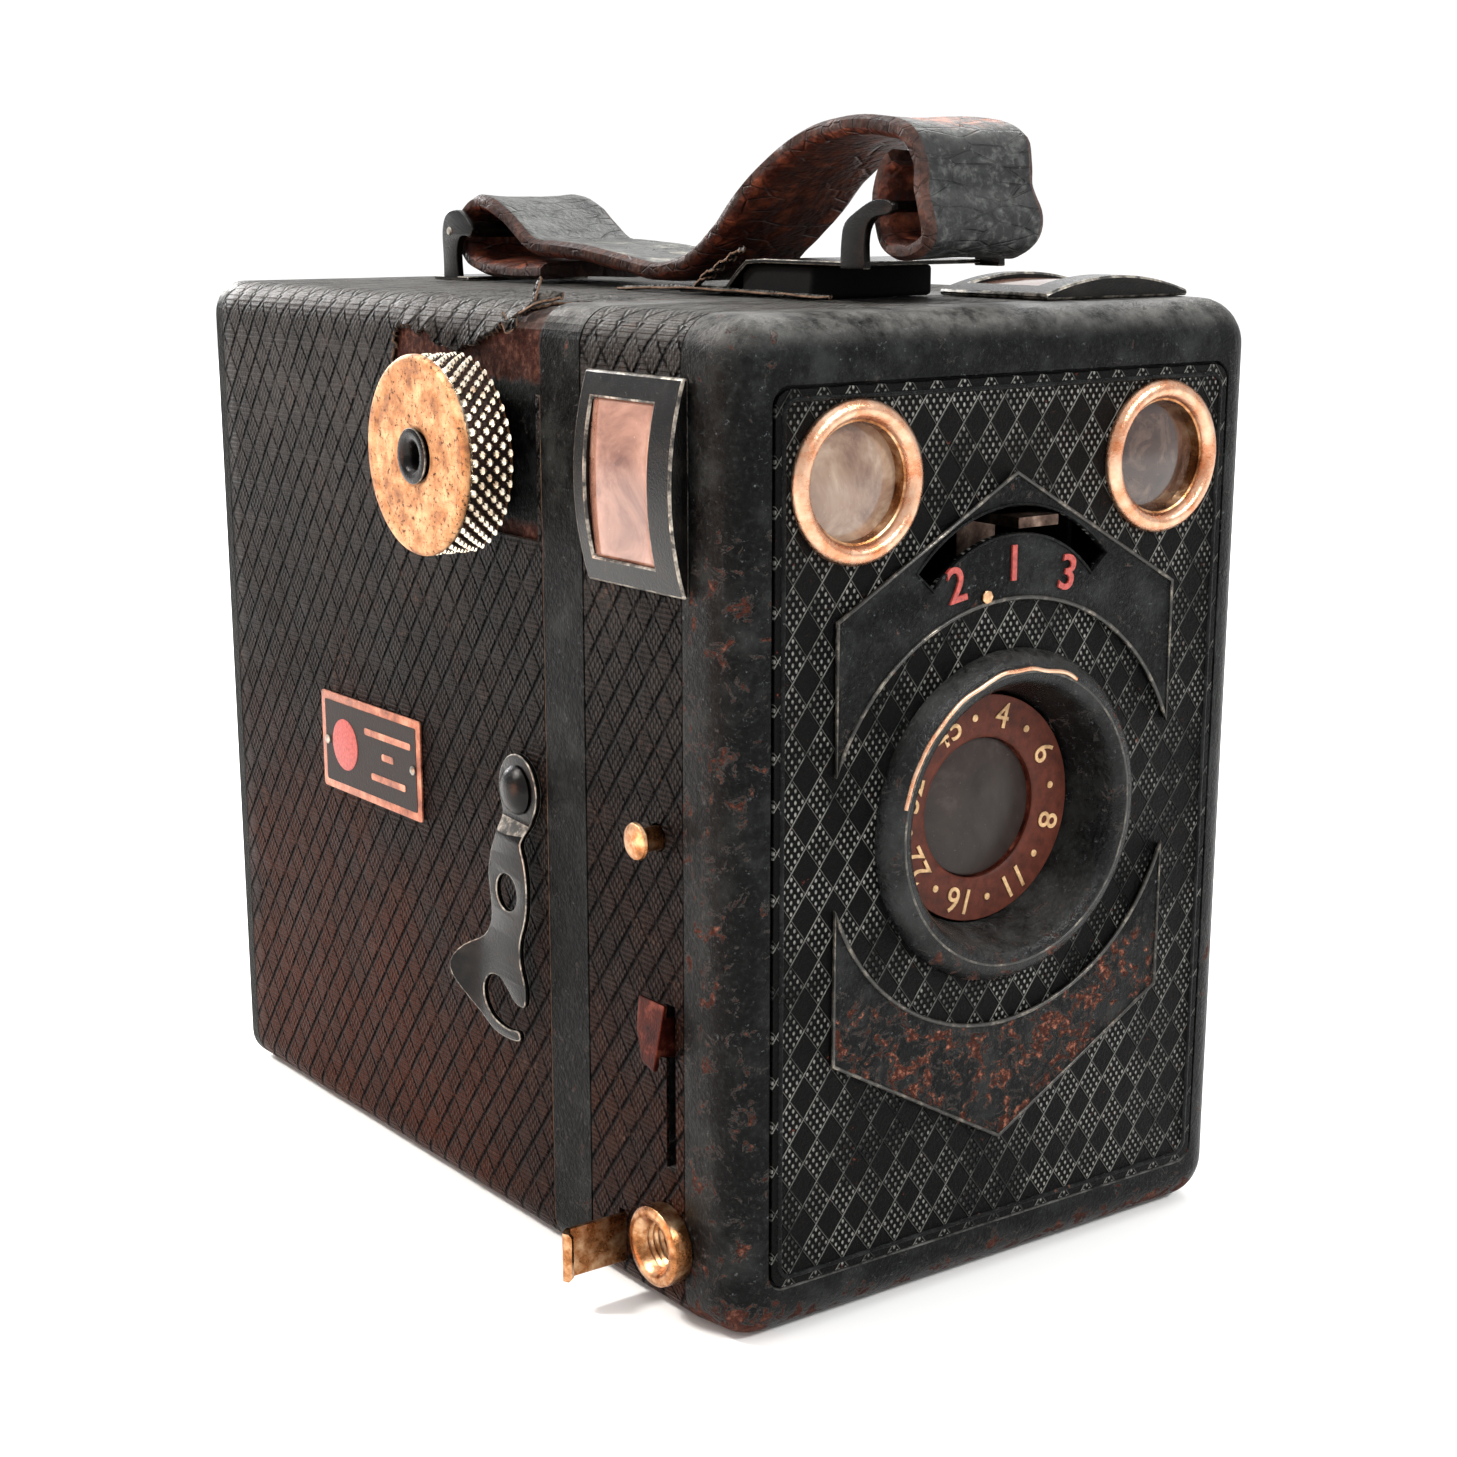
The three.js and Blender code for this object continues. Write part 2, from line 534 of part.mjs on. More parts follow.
function windowFrame(axisLow) {
  const half = WINDOW.halfLength;
  const shape = new THREE.Shape();
  const flank = axisLow + WINDOW.edge;
  shape.moveTo(-half, axisLow);
  shape.lineTo(half, axisLow);
  shape.lineTo(half, flank);
  shape.quadraticCurveTo(0, flank + 2 * WINDOW.rise, -half, flank);
  const glass = new THREE.Shape();
  const rim = half - PANE.end;
  const brim = axisLow + PANE.low;
  glass.moveTo(-rim, axisLow);
  glass.lineTo(rim, axisLow);
  glass.lineTo(rim, brim);
  glass.quadraticCurveTo(0, brim + 2 * PANE.rise, -rim, brim);
  const seat = PANE.side - 0.3;
  const frame = cut(
    sheet("y", shape, WINDOW.front, WINDOW.back, 10),
    block([-rim - 0.3, WINDOW.front + seat, -5], [rim + 0.3, WINDOW.back - seat, axisLow + 10]),
  );
  const pane = sheet("y", glass, WINDOW.front + PANE.side, WINDOW.back - PANE.side, 10);
  return { frame, pane };
}

function finders() {
  for (const [side, sign] of [["left", -1], ["right", 1]]) {
    const centre = [sign * FINDER.x, 0, FINDER.z];
    const bezel = [
      [FINDER.radius, -61.35], [8.7, -62.1], [7.9, -62.6], [6.9, -62.3], [6.6, -61.6],
      [6.6, -60.2], [7.2, -60.2], [7.2, -61.35],
    ];
    add(`finder_bezel_${side}`, turned("y", centre, bezel, 24), "#b4653a", 0.35, 0.9);
    const lens = [[0, -61], [3.3, -60.75], [6.2, -60.1], [7, -60.1], [7, -58.8], [0, -58.8]];
    add(`finder_lens_${side}`, turned("y", centre, lens), "#8f8780", 0.1, 0);
  }

  const { frame, pane } = windowFrame(0.1);
  const onSide = new THREE.Matrix4().makeBasis(Z, Y, X.clone().negate());
  onSide.setPosition(-BODY.halfWidth, 0, 96.5);
  const onTop = new THREE.Matrix4().makeTranslation(FINDER.x, 0, BODY.height);
  for (const [name, matrix] of [["side", onSide], ["top", onTop]]) {
    add(`${name}_window_frame`, solid(geometryOf(frame).applyMatrix4(matrix)), "#2b2b2d", 0.45, 0.5);
    add(`${name}_window_glass`, solid(geometryOf(pane).applyMatrix4(matrix)), "#a8968e", 0.08, 0);
  }

  const { front, back, bottom, sheet: thin, near } = FINDER_BOX;
  const wall = (x, z) => block([x[0], front, z[0]], [x[1], back, z[1]]);
  const boxLeft = join(
    wall([-37.3, -near], [bottom, bottom + thin]),
    wall([-near - thin, -near], [bottom, 108.6]),
    wall([-37.3, -near], [108.6 - thin, 108.6]),
  );
  const boxRight = join(
    wall([near, 35.6], [bottom, bottom + thin]),
    wall([near, near + thin], [bottom, 112.6]),
    wall([35.6 - thin, 35.6], [bottom, 112.6]),
  );
  add("finder_box_left", boxLeft, "#1a1918", 0.6, 0.4);
  add("finder_box_right", boxRight, "#1a1918", 0.6, 0.4);

  const slant = [[-30.4, -36], [-15.8, -50.6], [-15.1, -49.9], [-29.7, -35.3]];
  add("finder_mirror_left", sheet("z", slant, 86.5, 107), "#cfd2d4", 0.05, 1);
  const rise = [[-51.6, 86.6], [-50.9, 85.9], [-35.9, 100.9], [-36.6, 101.6]];
  add("finder_mirror_right", sheet("x", rise, 15.6, 34.2), "#cfd2d4", 0.05, 1);
}

function tripodBushes() {
  const side = [
    [0, -35.2], [0, -36.2], [BUSH.bore, -36.2], [BUSH.bore, -41.6], [4.2, -41.6],
    [BUSH.radius, -41.1], [BUSH.radius, -39.1], [4, -39.1], [4, -35.2], [0, -35.2],
  ];
  add("tripod_bush_side", turned("x", [0, BUSH.y, BUSH.z], side), "#b98a55", 0.35, 0.9);
  const bottom = cut(
    rod("z", [0, -45, 0], 5.5, 0.05, 7),
    rod("z", [0, -45, 0], BUSH.bore, -1, 6),
  );
  add("tripod_bush_bottom", bottom, "#b98a55", 0.35, 0.9);
}

function frustum(near, far, from, to) {
  const ring = ([halfX, halfZ], y) => [
    [-halfX, y, LENS.z - halfZ], [halfX, y, LENS.z - halfZ],
    [halfX, y, LENS.z + halfZ], [-halfX, y, LENS.z + halfZ],
  ];
  const geometry = new THREE.BufferGeometry();
  const corners = [...ring(near, from), ...ring(far, to)].flat();
  geometry.setAttribute("position", new THREE.Float32BufferAttribute(corners, 3));
  const faces = [[0, 1, 2], [0, 2, 3], [4, 6, 5], [4, 7, 6]];
  for (let i = 0; i < 4; i += 1) {
    const next = (i + 1) % 4;
    faces.push([i, i + 4, next + 4], [i, next + 4, next]);
  }
  geometry.setIndex(faces.flat());
  return solid(geometry);
}

function filmCarrier() {
  const lip = roundedRectangle(36.8, 2.2, 112.4, 3);
  const pan = cut(
    sheet("y", lip, -34.8, -31.2, 3),
    sheet("y", roundedRectangle(35.8, 3.2, 111.4, 2), -40, -32, 3),
    block([-14.8, -40, LENS.z - 18.4], [14.8, -20, LENS.z + 18.4]),
  );
  add("carrier_bulkhead", pan, "#201e1c", 0.6, 0.4);

  const thin = TUNNEL.wall;
  const tunnel = cut(
    frustum([TUNNEL.nearX, TUNNEL.nearZ], [TUNNEL.farX, TUNNEL.farZ], TUNNEL.front, TUNNEL.back),
    frustum(
      [TUNNEL.nearX - thin - 0.2, TUNNEL.nearZ - thin - 0.3],
      [TUNNEL.farX - thin + 0.2, TUNNEL.farZ - thin + 0.3],
      TUNNEL.front - 1,
      TUNNEL.back + 1,
    ),
  );
  add("light_tunnel", tunnel, "#161514", 0.9, 0.2);

  const ears = [];
  for (const sign of [-1, 1]) {
    for (const end of [-1, 1]) {
      const x = [sign * 31, sign * GATE.halfWidth].sort((a, b) => a - b);
      const z = [LENS.z + end * 40, LENS.z + end * 49.5].sort((a, b) => a - b);
      ears.push(block([x[0], GATE.front, z[0]], [x[1], 57.4, z[1]]));
    }
  }
  const plate = block(
    [-GATE.halfWidth, GATE.front, LENS.z - GATE.halfHeight],
    [GATE.halfWidth, GATE.back, LENS.z + GATE.halfHeight],
  );
  const opening = block([-GATE.openX, 50, LENS.z - GATE.openZ], [GATE.openX, 60, LENS.z + GATE.openZ]);
  const rollerHoles = [-1, 1].map((end) => {
    return rod("x", [0, ROLLER.y, LENS.z + end * ROLLER.offset], 1.4, -40, 40, 12);
  });
  add("film_gate", cut(join(plate, ...ears), opening, ...rollerHoles), "#8d8a85", 0.4, 0.9);

  for (const [name, end] of [["top", 1], ["bottom", -1]]) {
    const profile = [
      [0, -32], [1, -32], [1, -30.6], [ROLLER.radius, -30.6], [ROLLER.radius, 30.6], [1, 30.6],
      [1, 32], [0, 32],
    ];
    const centre = [0, ROLLER.y, LENS.z + end * ROLLER.offset];
    add(`film_roller_${name}`, turned("x", centre, profile, 16), "#b5b2ac", 0.3, 0.9);
  }
}

function cheeksAndSpool() {
  const supplyHole = rod("x", [0, SPOOL.y, SPOOL.bottom], 2.3, -40, 40, 16);
  const takeUpHole = rod("x", [0, SPOOL.y, SPOOL.top], 2.3, 30, 40, 16);
  const notch = join(
    rod("x", [0, SPOOL.y, SPOOL.top], 3.4, -40, -30, 16),
    block([-40, SPOOL.y, SPOOL.top - 3.4], [-30, 10, SPOOL.top + 3.4]),
  );
  const plate = block([-35, -31, 4], [-34, 3, 110]);
  const right = block([34, -31, 4], [35, 3, 110]);
  add("cheek_plate_left", cut(plate, supplyHole, notch), "#8d8a85", 0.4, 0.9);
  add("cheek_plate_right", cut(right, supplyHole, takeUpHole), "#8d8a85", 0.4, 0.9);

  const pin = (height) => turned("x", [0, SPOOL.y, height], [
    [0, 30.5], [1.4, 30.5], [2, 31.1], [2, 35.2], [3.4, 35.2], [3.4, 36.1], [0, 36.1],
  ], 16);
  add("spool_pin_take_up", pin(SPOOL.top), "#a8a49c", 0.35, 0.9);
  add("spool_pin_supply_right", pin(SPOOL.bottom), "#a8a49c", 0.35, 0.9);
  add("spool_pin_supply_left", mirrored(pin(SPOOL.bottom)), "#a8a49c", 0.35, 0.9);

  const profile = [
    [0, -SPOOL.half], [SPOOL.flange, -SPOOL.half], [SPOOL.flange, -SPOOL.half + 1],
    [SPOOL.core, -SPOOL.half + 1], [SPOOL.core, SPOOL.half - 1], [SPOOL.flange, SPOOL.half - 1],
    [SPOOL.flange, SPOOL.half], [0, SPOOL.half],
  ];
  const keySlot = block([-34, SPOOL.y - 1, SPOOL.top - 3], [-29.5, SPOOL.y + 1, SPOOL.top + 3]);
  const pinHole = rod("x", [0, SPOOL.y, SPOOL.top], 2.6, 28, 34, 16);
  const spool = cut(turned("x", [0, SPOOL.y, SPOOL.top], profile, 24), keySlot, pinHole);
  add("take_up_spool", spool, "#2d2c2b", 0.5, 0.3);
}

rearCase();
strapAndBrackets();
winder();
latches();
frontShell();
frontPanel();
lensAssembly();
aperturePlate();
shutter();
timeTab();
finders();
tripodBushes();
filmCarrier();
cheeksAndSpool();

export default camera;
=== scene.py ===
import math

import bmesh
import bpy
from mathutils import Matrix, Vector, noise


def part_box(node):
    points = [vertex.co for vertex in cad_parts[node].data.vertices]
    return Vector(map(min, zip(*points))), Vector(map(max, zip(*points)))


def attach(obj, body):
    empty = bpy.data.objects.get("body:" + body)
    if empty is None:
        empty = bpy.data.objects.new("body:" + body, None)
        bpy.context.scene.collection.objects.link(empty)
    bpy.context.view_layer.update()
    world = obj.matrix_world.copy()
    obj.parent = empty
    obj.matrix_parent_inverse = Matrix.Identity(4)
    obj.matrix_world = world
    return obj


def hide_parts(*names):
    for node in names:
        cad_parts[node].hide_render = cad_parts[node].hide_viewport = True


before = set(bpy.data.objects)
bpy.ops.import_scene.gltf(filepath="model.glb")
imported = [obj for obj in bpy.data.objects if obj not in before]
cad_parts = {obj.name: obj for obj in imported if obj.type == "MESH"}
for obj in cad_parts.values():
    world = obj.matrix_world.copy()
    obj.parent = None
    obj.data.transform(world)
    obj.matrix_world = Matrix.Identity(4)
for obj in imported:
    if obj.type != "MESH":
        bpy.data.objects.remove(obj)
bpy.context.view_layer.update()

MM = 0.001
TAU = 2 * math.pi


def extent(*nodes):
    """Lowest corner, highest corner and middle of some CAD nodes together, in millimetres."""
    lows, highs = zip(*(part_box(node) for node in nodes))
    low = Vector(map(min, *lows)) / MM if len(nodes) > 1 else lows[0] / MM
    high = Vector(map(max, *highs)) / MM if len(nodes) > 1 else highs[0] / MM
    return low, high, (low + high) / 2


# ---- materials ----


def rgb(code):
    """A linear colour from six hexadecimal digits."""
    parts = [int(code[i : i + 2], 16) / 255 for i in (0, 2, 4)]
    linear = [c / 12.92 if c < 0.04045 else ((c + 0.055) / 1.055) ** 2.4 for c in parts]
    return (*linear, 1.0)


class Shader:
    """One material and short calls for its nodes. Texture places are in millimetres."""

    def __init__(self, name):
        self.material = bpy.data.materials.new(name)
        self.material.use_nodes = True
        self.nodes = self.material.node_tree.nodes
        self.links = self.material.node_tree.links
        self.nodes.clear()
        self.surface = self.node("BsdfPrincipled")
        output = self.node("OutputMaterial")
        self.links.new(self.surface.outputs[0], output.inputs[0])
        coordinates = self.node("TexCoord")
        scaled = self.nodes.new("ShaderNodeVectorMath")
        scaled.operation = "SCALE"
        self.feed(scaled, 0, coordinates.outputs["Object"])
        self.feed(scaled, "Scale", 1000)
        self.place = scaled.outputs[0]
        self.x, self.y, self.z = self.split(self.place)
        self.facing = coordinates.outputs["Normal"]

    def node(self, kind, **inputs):
        made = self.nodes.new("ShaderNode" + kind)
        for name, value in inputs.items():
            self.feed(made, name.replace("_", " "), value)
        return made

    def feed(self, node, name, value):
        socket = node.inputs[name]
        if isinstance(value, bpy.types.NodeSocket):
            self.links.new(value, socket)
        else:
            socket.default_value = value

    def split(self, vector):
        parts = self.node("SeparateXYZ", Vector=vector)
        return parts.outputs[0], parts.outputs[1], parts.outputs[2]

    def math(self, operation, *values):
        made = self.nodes.new("ShaderNodeMath")
        made.operation = operation
        for index, value in enumerate(values):
            self.feed(made, index, value)
        return made.outputs[0]

    def plus(self, a, b):
        return self.math("ADD", a, b)

    def minus(self, a, b):
        return self.math("SUBTRACT", a, b)

    def times(self, a, b):
        return self.math("MULTIPLY", a, b)

    def rise(self, value, low, high):
        """A smooth step from 0 at low to 1 at high."""
        made = self.nodes.new("ShaderNodeMapRange")
        made.interpolation_type = "SMOOTHSTEP"
        for name, number in (("Value", value), ("From Min", low), ("From Max", high)):
            self.feed(made, name, number)
        return made.outputs[0]

    def either(self, factor, a, b):
        """The number a where the factor is 0 and b where it is 1."""
        made = self.nodes.new("ShaderNodeMix")
        for index, value in ((0, factor), (2, a), (3, b)):
            self.feed(made, index, value)
        return made.outputs[0]

    def tint(self, factor, a, b):
        """The colour a where the factor is 0 and b where it is 1."""
        made = self.nodes.new("ShaderNodeMix")
        made.data_type = "RGBA"
        for index, value in ((0, factor), (6, a), (7, b)):
            self.feed(made, index, value)
        return made.outputs[2]

    def stretched(self, factors):
        """The place for a texture, its axes scaled one by one."""
        made = self.nodes.new("ShaderNodeVectorMath")
        made.operation = "MULTIPLY"
        self.feed(made, 0, self.place)
        self.feed(made, 1, factors)
        return made.outputs[0]

    def noise(self, scale, detail=3.0, roughness=0.55, stretch=None, distortion=0.0):
        made = self.node(
            "TexNoise",
            Vector=self.place if stretch is None else self.stretched(stretch),
            Scale=scale,
            Detail=detail,
            Roughness=roughness,
            Distortion=distortion,
        )
        return made.outputs[0]

    def cells(self, scale, feature="F1", stretch=None):
        made = self.nodes.new("ShaderNodeTexVoronoi")
        made.feature = feature
        self.feed(made, "Vector", self.place if stretch is None else self.stretched(stretch))
        self.feed(made, "Scale", scale)
        return made.outputs["Distance"]

    def ramp(self, value, *stops):
        """A colour that runs through stops of (position, code)."""
        made = self.nodes.new("ShaderNodeValToRGB")
        elements = made.color_ramp.elements
        elements[0].position, elements[1].position = stops[0][0], stops[-1][0]
        elements[0].color, elements[1].color = rgb(stops[0][1]), rgb(stops[-1][1])
        for position, code in stops[1:-1]:
            elements.new(position).color = rgb(code)
        self.feed(made, 0, value)
        return made.outputs[0]

    def bump(self, height, depth):
        """A bump whose height of 1 stands depth millimetres."""
        return self.node("Bump", Height=height, Distance=depth * MM).outputs[0]

    def box(self, low, high, soft):
        """1 inside a box, falling to 0 over a soft edge roughened by noise."""
        wobble = self.times(self.minus(self.noise(0.6, 4), 0.5), 3 * soft)
        inside = None
        for value, start, end in zip((self.x, self.y, self.z), low, high):
            moved = self.plus(value, wobble)
            up = self.rise(moved, start - soft, start + soft)
            down = self.rise(moved, end + soft, end - soft)
            part = self.times(up, down)
            inside = part if inside is None else self.times(inside, part)
        return inside

    def surface_place(self):
        """The place on the wall that a point is on: along it, and up or across it."""
        _, ny, nz = self.split(self.facing)
        lying = self.math("GREATER_THAN", self.math("ABSOLUTE", nz), 0.7)
        facing = self.math("GREATER_THAN", self.math("ABSOLUTE", ny), 0.7)
        along = self.either(facing, self.times(self.y, -1), self.x)
        up = self.either(lying, self.z, self.x)
        return along, up

    def harlequin(self, along, up, width, height):
        """Rhombus cells: the place in a cell along its two slanting sides, and 1 in every second cell."""
        u = self.math("DIVIDE", along, width)
        v = self.math("DIVIDE", up, height)
        falling, rising = self.plus(u, v), self.minus(u, v)
        whole = [self.math("ROUND", value) for value in (falling, rising)]
        inner = [self.minus(a, b) for a, b in zip((falling, rising), whole)]
        second = self.math("PINGPONG", self.plus(*whole), 1)
        return (*inner, second)

    def dots(self, a, b, count):
        """Round bumps in rows along the two sides of a cell."""
        total = None
        for value in (a, b):
            scaled = self.math("FRACT", self.times(self.plus(value, 0.5), count))
            off = self.minus(scaled, 0.5)
            square = self.times(off, off)
            total = square if total is None else self.plus(total, square)
        return self.rise(self.math("SQRT", total), 0.46, 0.12)

    def edge(self, value, width):
        """1 on the border of a cell, falling to 0 inside it."""
        return self.rise(self.math("ABSOLUTE", value), 0.5 - width, 0.5)

    def dust_and_top_sheen(self, tone, amount, code):
        """A colour paled on what faces up, in drifts: settled dust, and a painted sheen that lightens the top
        faces.
        """
        upward = self.rise(self.split(self.facing)[2], 0.25, 0.95)
        drift = self.rise(self.noise(0.25, 7, 0.75), 0.28, 0.7)
        return self.tint(self.times(self.times(upward, drift), amount), tone, rgb(code))

    def done(self, **inputs):
        """Feeds the surface, whose inputs are named with underscores for spaces."""
        for name, value in inputs.items():
            self.feed(self.surface, name.replace("_", " "), value)
        return self.material


def leatherette():
    """Black paper leatherette with hatched and dotted rhombuses, browned in random stains and by a painted
    warm reflection low down, towards the rear and on the winder side.
    """
    s = Shader("leatherette")
    along, up = s.surface_place()
    a, b, hatched = s.harlequin(along, up, 3.9, 5.0)
    wave = s.math("SINE", s.times(up, TAU / 0.62))
    hatch = s.rise(wave, -0.5, 0.7)
    fill = s.either(hatched, s.dots(a, b, 4), hatch)
    groove = s.math("MAXIMUM", s.edge(b, 0.16), s.times(s.edge(a, 0.12), 0.6))
    worn = s.noise(0.11, 5, 0.65)
    grain = s.noise(2.6, 4, 0.6)
    relief = s.times(fill, s.either(hatched, 0.75, 0.55))
    broken = s.rise(s.noise(0.55, 4, 0.6), 0.38, 0.58)
    relief = s.minus(relief, s.times(groove, s.plus(s.times(broken, 1.3), 0.35)))
    relief = s.plus(relief, s.times(grain, 0.55))
    relief = s.plus(relief, s.times(s.noise(0.35, 3), 0.9))
    # The low mask is a painted warm reflection: it grows towards the foot, the rear and the winder side.
    towards_rear = s.plus(s.times(s.rise(s.y, -30, 30), 0.55), 0.45)
    winder_side = s.plus(s.times(s.rise(s.x, 20, -38), 0.7), 0.3)
    low = s.times(s.times(s.rise(s.z, 80, 5), towards_rear), winder_side)
    # Browner in random stains everywhere, and more where the painted warm reflection lies.
    stain_and_warm_reflection = s.times(s.noise(0.06, 4), s.plus(s.times(low, 1.6), 0.25))
    # Darker in the grooves and paler on the raised parts: painted shade and highlight that bring out the
    # relief.
    tone = s.ramp(s.times(relief, 0.6), (0.1, "030202"), (0.45, "0b0807"), (0.72, "1c1714"), (1.0, "352c27"))
    tone = s.tint(s.rise(stain_and_warm_reflection, 0.1, 1.0), tone, s.ramp(relief, (0.2, "0a0301"), (1.0, "3a1a0c")))
    # Paler ridges in patches, more so towards the top of the wall.
    paler_ridges_up_the_wall = s.times(s.rise(s.z, 60, 112), s.rise(worn, 0.25, 0.65))
    tone = s.tint(s.times(paler_ridges_up_the_wall, s.rise(relief, 0.1, 0.8)), tone, rgb("363432"))
    # Pale dust, and a painted sheen, on the faces that look up.
    tone = s.dust_and_top_sheen(tone, 0.36, "8f8d88")
    fine = s.rise(s.times(s.noise(1.3, 6, 0.7), s.plus(worn, 0.42)), 0.55, 0.74)
    tone = s.tint(s.times(fine, 0.55), tone, rgb("5a4438"))
    shine = s.plus(s.times(worn, 0.34), s.times(groove, 0.2))
    return s.done(
        Base_Color=tone,
        Roughness=s.plus(shine, 0.24),
        Specular_IOR_Level=0.03,
        Normal=s.bump(relief, 0.5),
    )


def embossed_panel():
    """Black lacquered steel pressed with dotted and plain rhombuses."""
    s = Shader("embossed_panel")
    a, b, plain = s.harlequin(s.x, s.z, 3.9, 5.25)
    dots = s.times(s.dots(a, b, 4), s.minus(1, plain))
    ridge = s.math("MAXIMUM", s.edge(b, 0.07), s.times(s.edge(a, 0.06), 0.6))
    grain = s.noise(2.2, 5, 0.65)
    relief = s.plus(s.times(dots, 0.75), ridge)
    relief = s.plus(relief, s.times(grain, 0.5))
    worn = s.noise(0.09, 5, 0.65)
    raised = s.rise(s.math("MAXIMUM", dots, ridge), 0.35, 0.85)
    # Pale grey on the raised dots and ridges, in patches: rubbed wear and painted highlight.
    rub_and_ridge_highlight = s.times(raised, s.rise(s.plus(worn, s.times(s.noise(0.9, 5, 0.7), 0.5)), 0.56, 0.95))
    # Darker in the hollows and paler on the raised parts: painted shade and highlight that bring out the
    # relief.
    tone = s.ramp(s.times(relief, 0.6), (0.1, "020202"), (0.45, "080908"), (0.8, "2a2e2c"))
    tone = s.tint(s.times(rub_and_ridge_highlight, 0.52), tone, rgb("a7a59f"))
    specks = s.rise(s.noise(1.1, 6, 0.72), 0.66, 0.72)
    tone = s.tint(s.times(specks, 0.8), tone, rgb("6a3325"))
    return s.done(
        Base_Color=tone,
        Roughness=s.plus(s.times(worn, 0.4), 0.14),
        Specular_IOR_Level=0.05,
        Normal=s.bump(relief, 0.5),
    )


def enamel(name, rust_spots, chips=0.5, bare=(), gloss=0.3, rusty="745043", shine=0.06, dust=0.42):
    """Black stove enamel, orange-peeled and chipped to rust. rust_spots lists boxes with more chips; dust
    sets the pale dust and painted sheen on faces that look up.
    """
    s = Shader(name)
    orange_peel = s.noise(1.7, 4, 0.6)
    scuffs = s.noise(0.13, 5, 0.65)
    blister = s.noise(0.42, 8, 0.72, distortion=0.6)
    amount = s.times(s.rise(s.noise(0.05, 3), 0.42, 0.7), 0.07 * chips)
    for low, high, more in rust_spots:
        amount = s.plus(amount, s.times(s.box(low, high, 2.5), more))
    level = s.plus(blister, amount)
    rust = s.rise(level, 0.655, 0.69)
    rim = s.minus(s.rise(level, 0.635, 0.655), rust)
    flakes = s.rise(s.noise(1.5, 7, 0.75), 0.64, 0.7)
    rust = s.math("MAXIMUM", rust, s.times(flakes, 0.55 * chips))
    for low, high in bare:
        rust = s.math("MAXIMUM", rust, s.times(s.box(low, high, 0.5), 0.62))
    black = s.ramp(orange_peel, (0.3, "030303"), (0.55, "090a0a"), (0.75, "1d1f1e"))
    black = s.tint(s.times(s.rise(scuffs, 0.45, 0.75), 0.16), black, rgb("565a58"))
    brown = s.ramp(s.noise(1.2, 6, 0.7), (0.25, "180c09"), (0.5, "3a1f18"), (0.75, rusty))
    tone = s.tint(rust, s.tint(rim, black, rgb("3c3a38")), brown)
    glints = s.rise(s.noise(1.3, 8, 0.8), 0.6, 0.68)
    tone = s.tint(s.times(glints, 0.55), tone, rgb("6f7376"))
    # Pale dust, and a painted sheen, on the faces that look up.
    tone = s.dust_and_top_sheen(tone, dust, "9a9894")
    height = s.minus(s.times(orange_peel, 0.5), s.times(rust, 0.8))
    height = s.plus(height, s.times(s.noise(5.0, 3), 0.22))
    rough = s.plus(s.times(scuffs, 0.3), gloss - 0.12)
    return s.done(
        Base_Color=tone,
        Roughness=s.either(rust, rough, 0.8),
        Specular_IOR_Level=shine,
        Normal=s.bump(height, 0.3),
    )


def metal(name, *stops, roughness=0.3, spots="2a1a12", spotted=0.66, scratches=0.5, polish=1.0, patchy=1.0):
    """A plated or bare metal with tarnish clouds, spots, and scratches."""
    s = Shader(name)
    cloud = s.noise(0.35, 6, 0.65)
    if patchy != 1:
        cloud = s.plus(s.times(cloud, patchy), 0.5 * (1 - patchy))
    tone = s.ramp(cloud, *stops)
    pits = s.rise(s.noise(1.6, 7, 0.75), spotted, spotted + 0.06)
    lines = s.rise(s.noise(1.2, 5, 0.7, stretch=(1, 0.25, 3.5)), 0.58, 0.64)
    tone = s.tint(s.times(lines, 0.35 * scratches), tone, rgb(spots))
    tone = s.tint(pits, tone, rgb(spots))
    rough = s.plus(s.times(cloud, 0.25), s.times(pits, 0.3))
    height = s.plus(s.noise(3.0, 5, 0.65), s.times(pits, -0.8))
    return s.done(
        Base_Color=tone,
        Metallic=polish,
        Roughness=s.plus(rough, roughness - 0.1),
        Normal=s.bump(height, 0.05),
    )


def worn_edge(name, kept, dull, bright):
    """Black paint rubbed through to grey steel along an edge. kept is how much of the paint is left."""
    s = Shader(name)
    through = s.rise(s.noise(0.45, 5, 0.7), kept, kept + 0.2)
    tone = s.tint(through, rgb("16140f"), s.ramp(s.noise(2, 4), (0.3, dull), (0.7, bright)))
    return s.done(
        Base_Color=tone,
        Metallic=s.times(through, 0.8),
        Roughness=s.either(through, 0.4, 0.33),
        Normal=s.bump(s.noise(3.5, 4), 0.04),
    )


def strap_leather(name, *stops, cracked, gloss):
    """Old strap leather: grain, cracks across the bends, and rubbed streaks along it."""
    s = Shader(name)
    grain = s.cells(1.15)
    fibres = s.noise(0.8, 6, 0.7, stretch=(0.5, 0.5, 0.5))
    cracks = s.cells(0.22, "DISTANCE_TO_EDGE", stretch=(0.7, 1.9, 1.9))
    split = s.times(s.rise(cracks, 0.07, 0.0), s.rise(s.noise(0.16, 3), 0.35, 0.6))
    tone = s.ramp(fibres, *stops)
    rubbed = s.rise(s.noise(0.3, 5, 0.7, stretch=(0.45, 1.4, 1.4)), 0.56, 0.7)
    tone = s.tint(s.times(rubbed, 0.45), tone, rgb(stops[-1][1]))
    tone = s.tint(s.times(split, cracked), tone, rgb("1a0d09"))
    height = s.plus(s.times(grain, 0.45), s.times(fibres, 0.8))
    height = s.minus(height, s.times(split, 1.3 * cracked))
    return s.done(
        Base_Color=tone,
        Roughness=s.plus(s.times(fibres, 0.4), gloss),
        Specular_IOR_Level=0.25,
        Normal=s.bump(height, 0.35),
    )


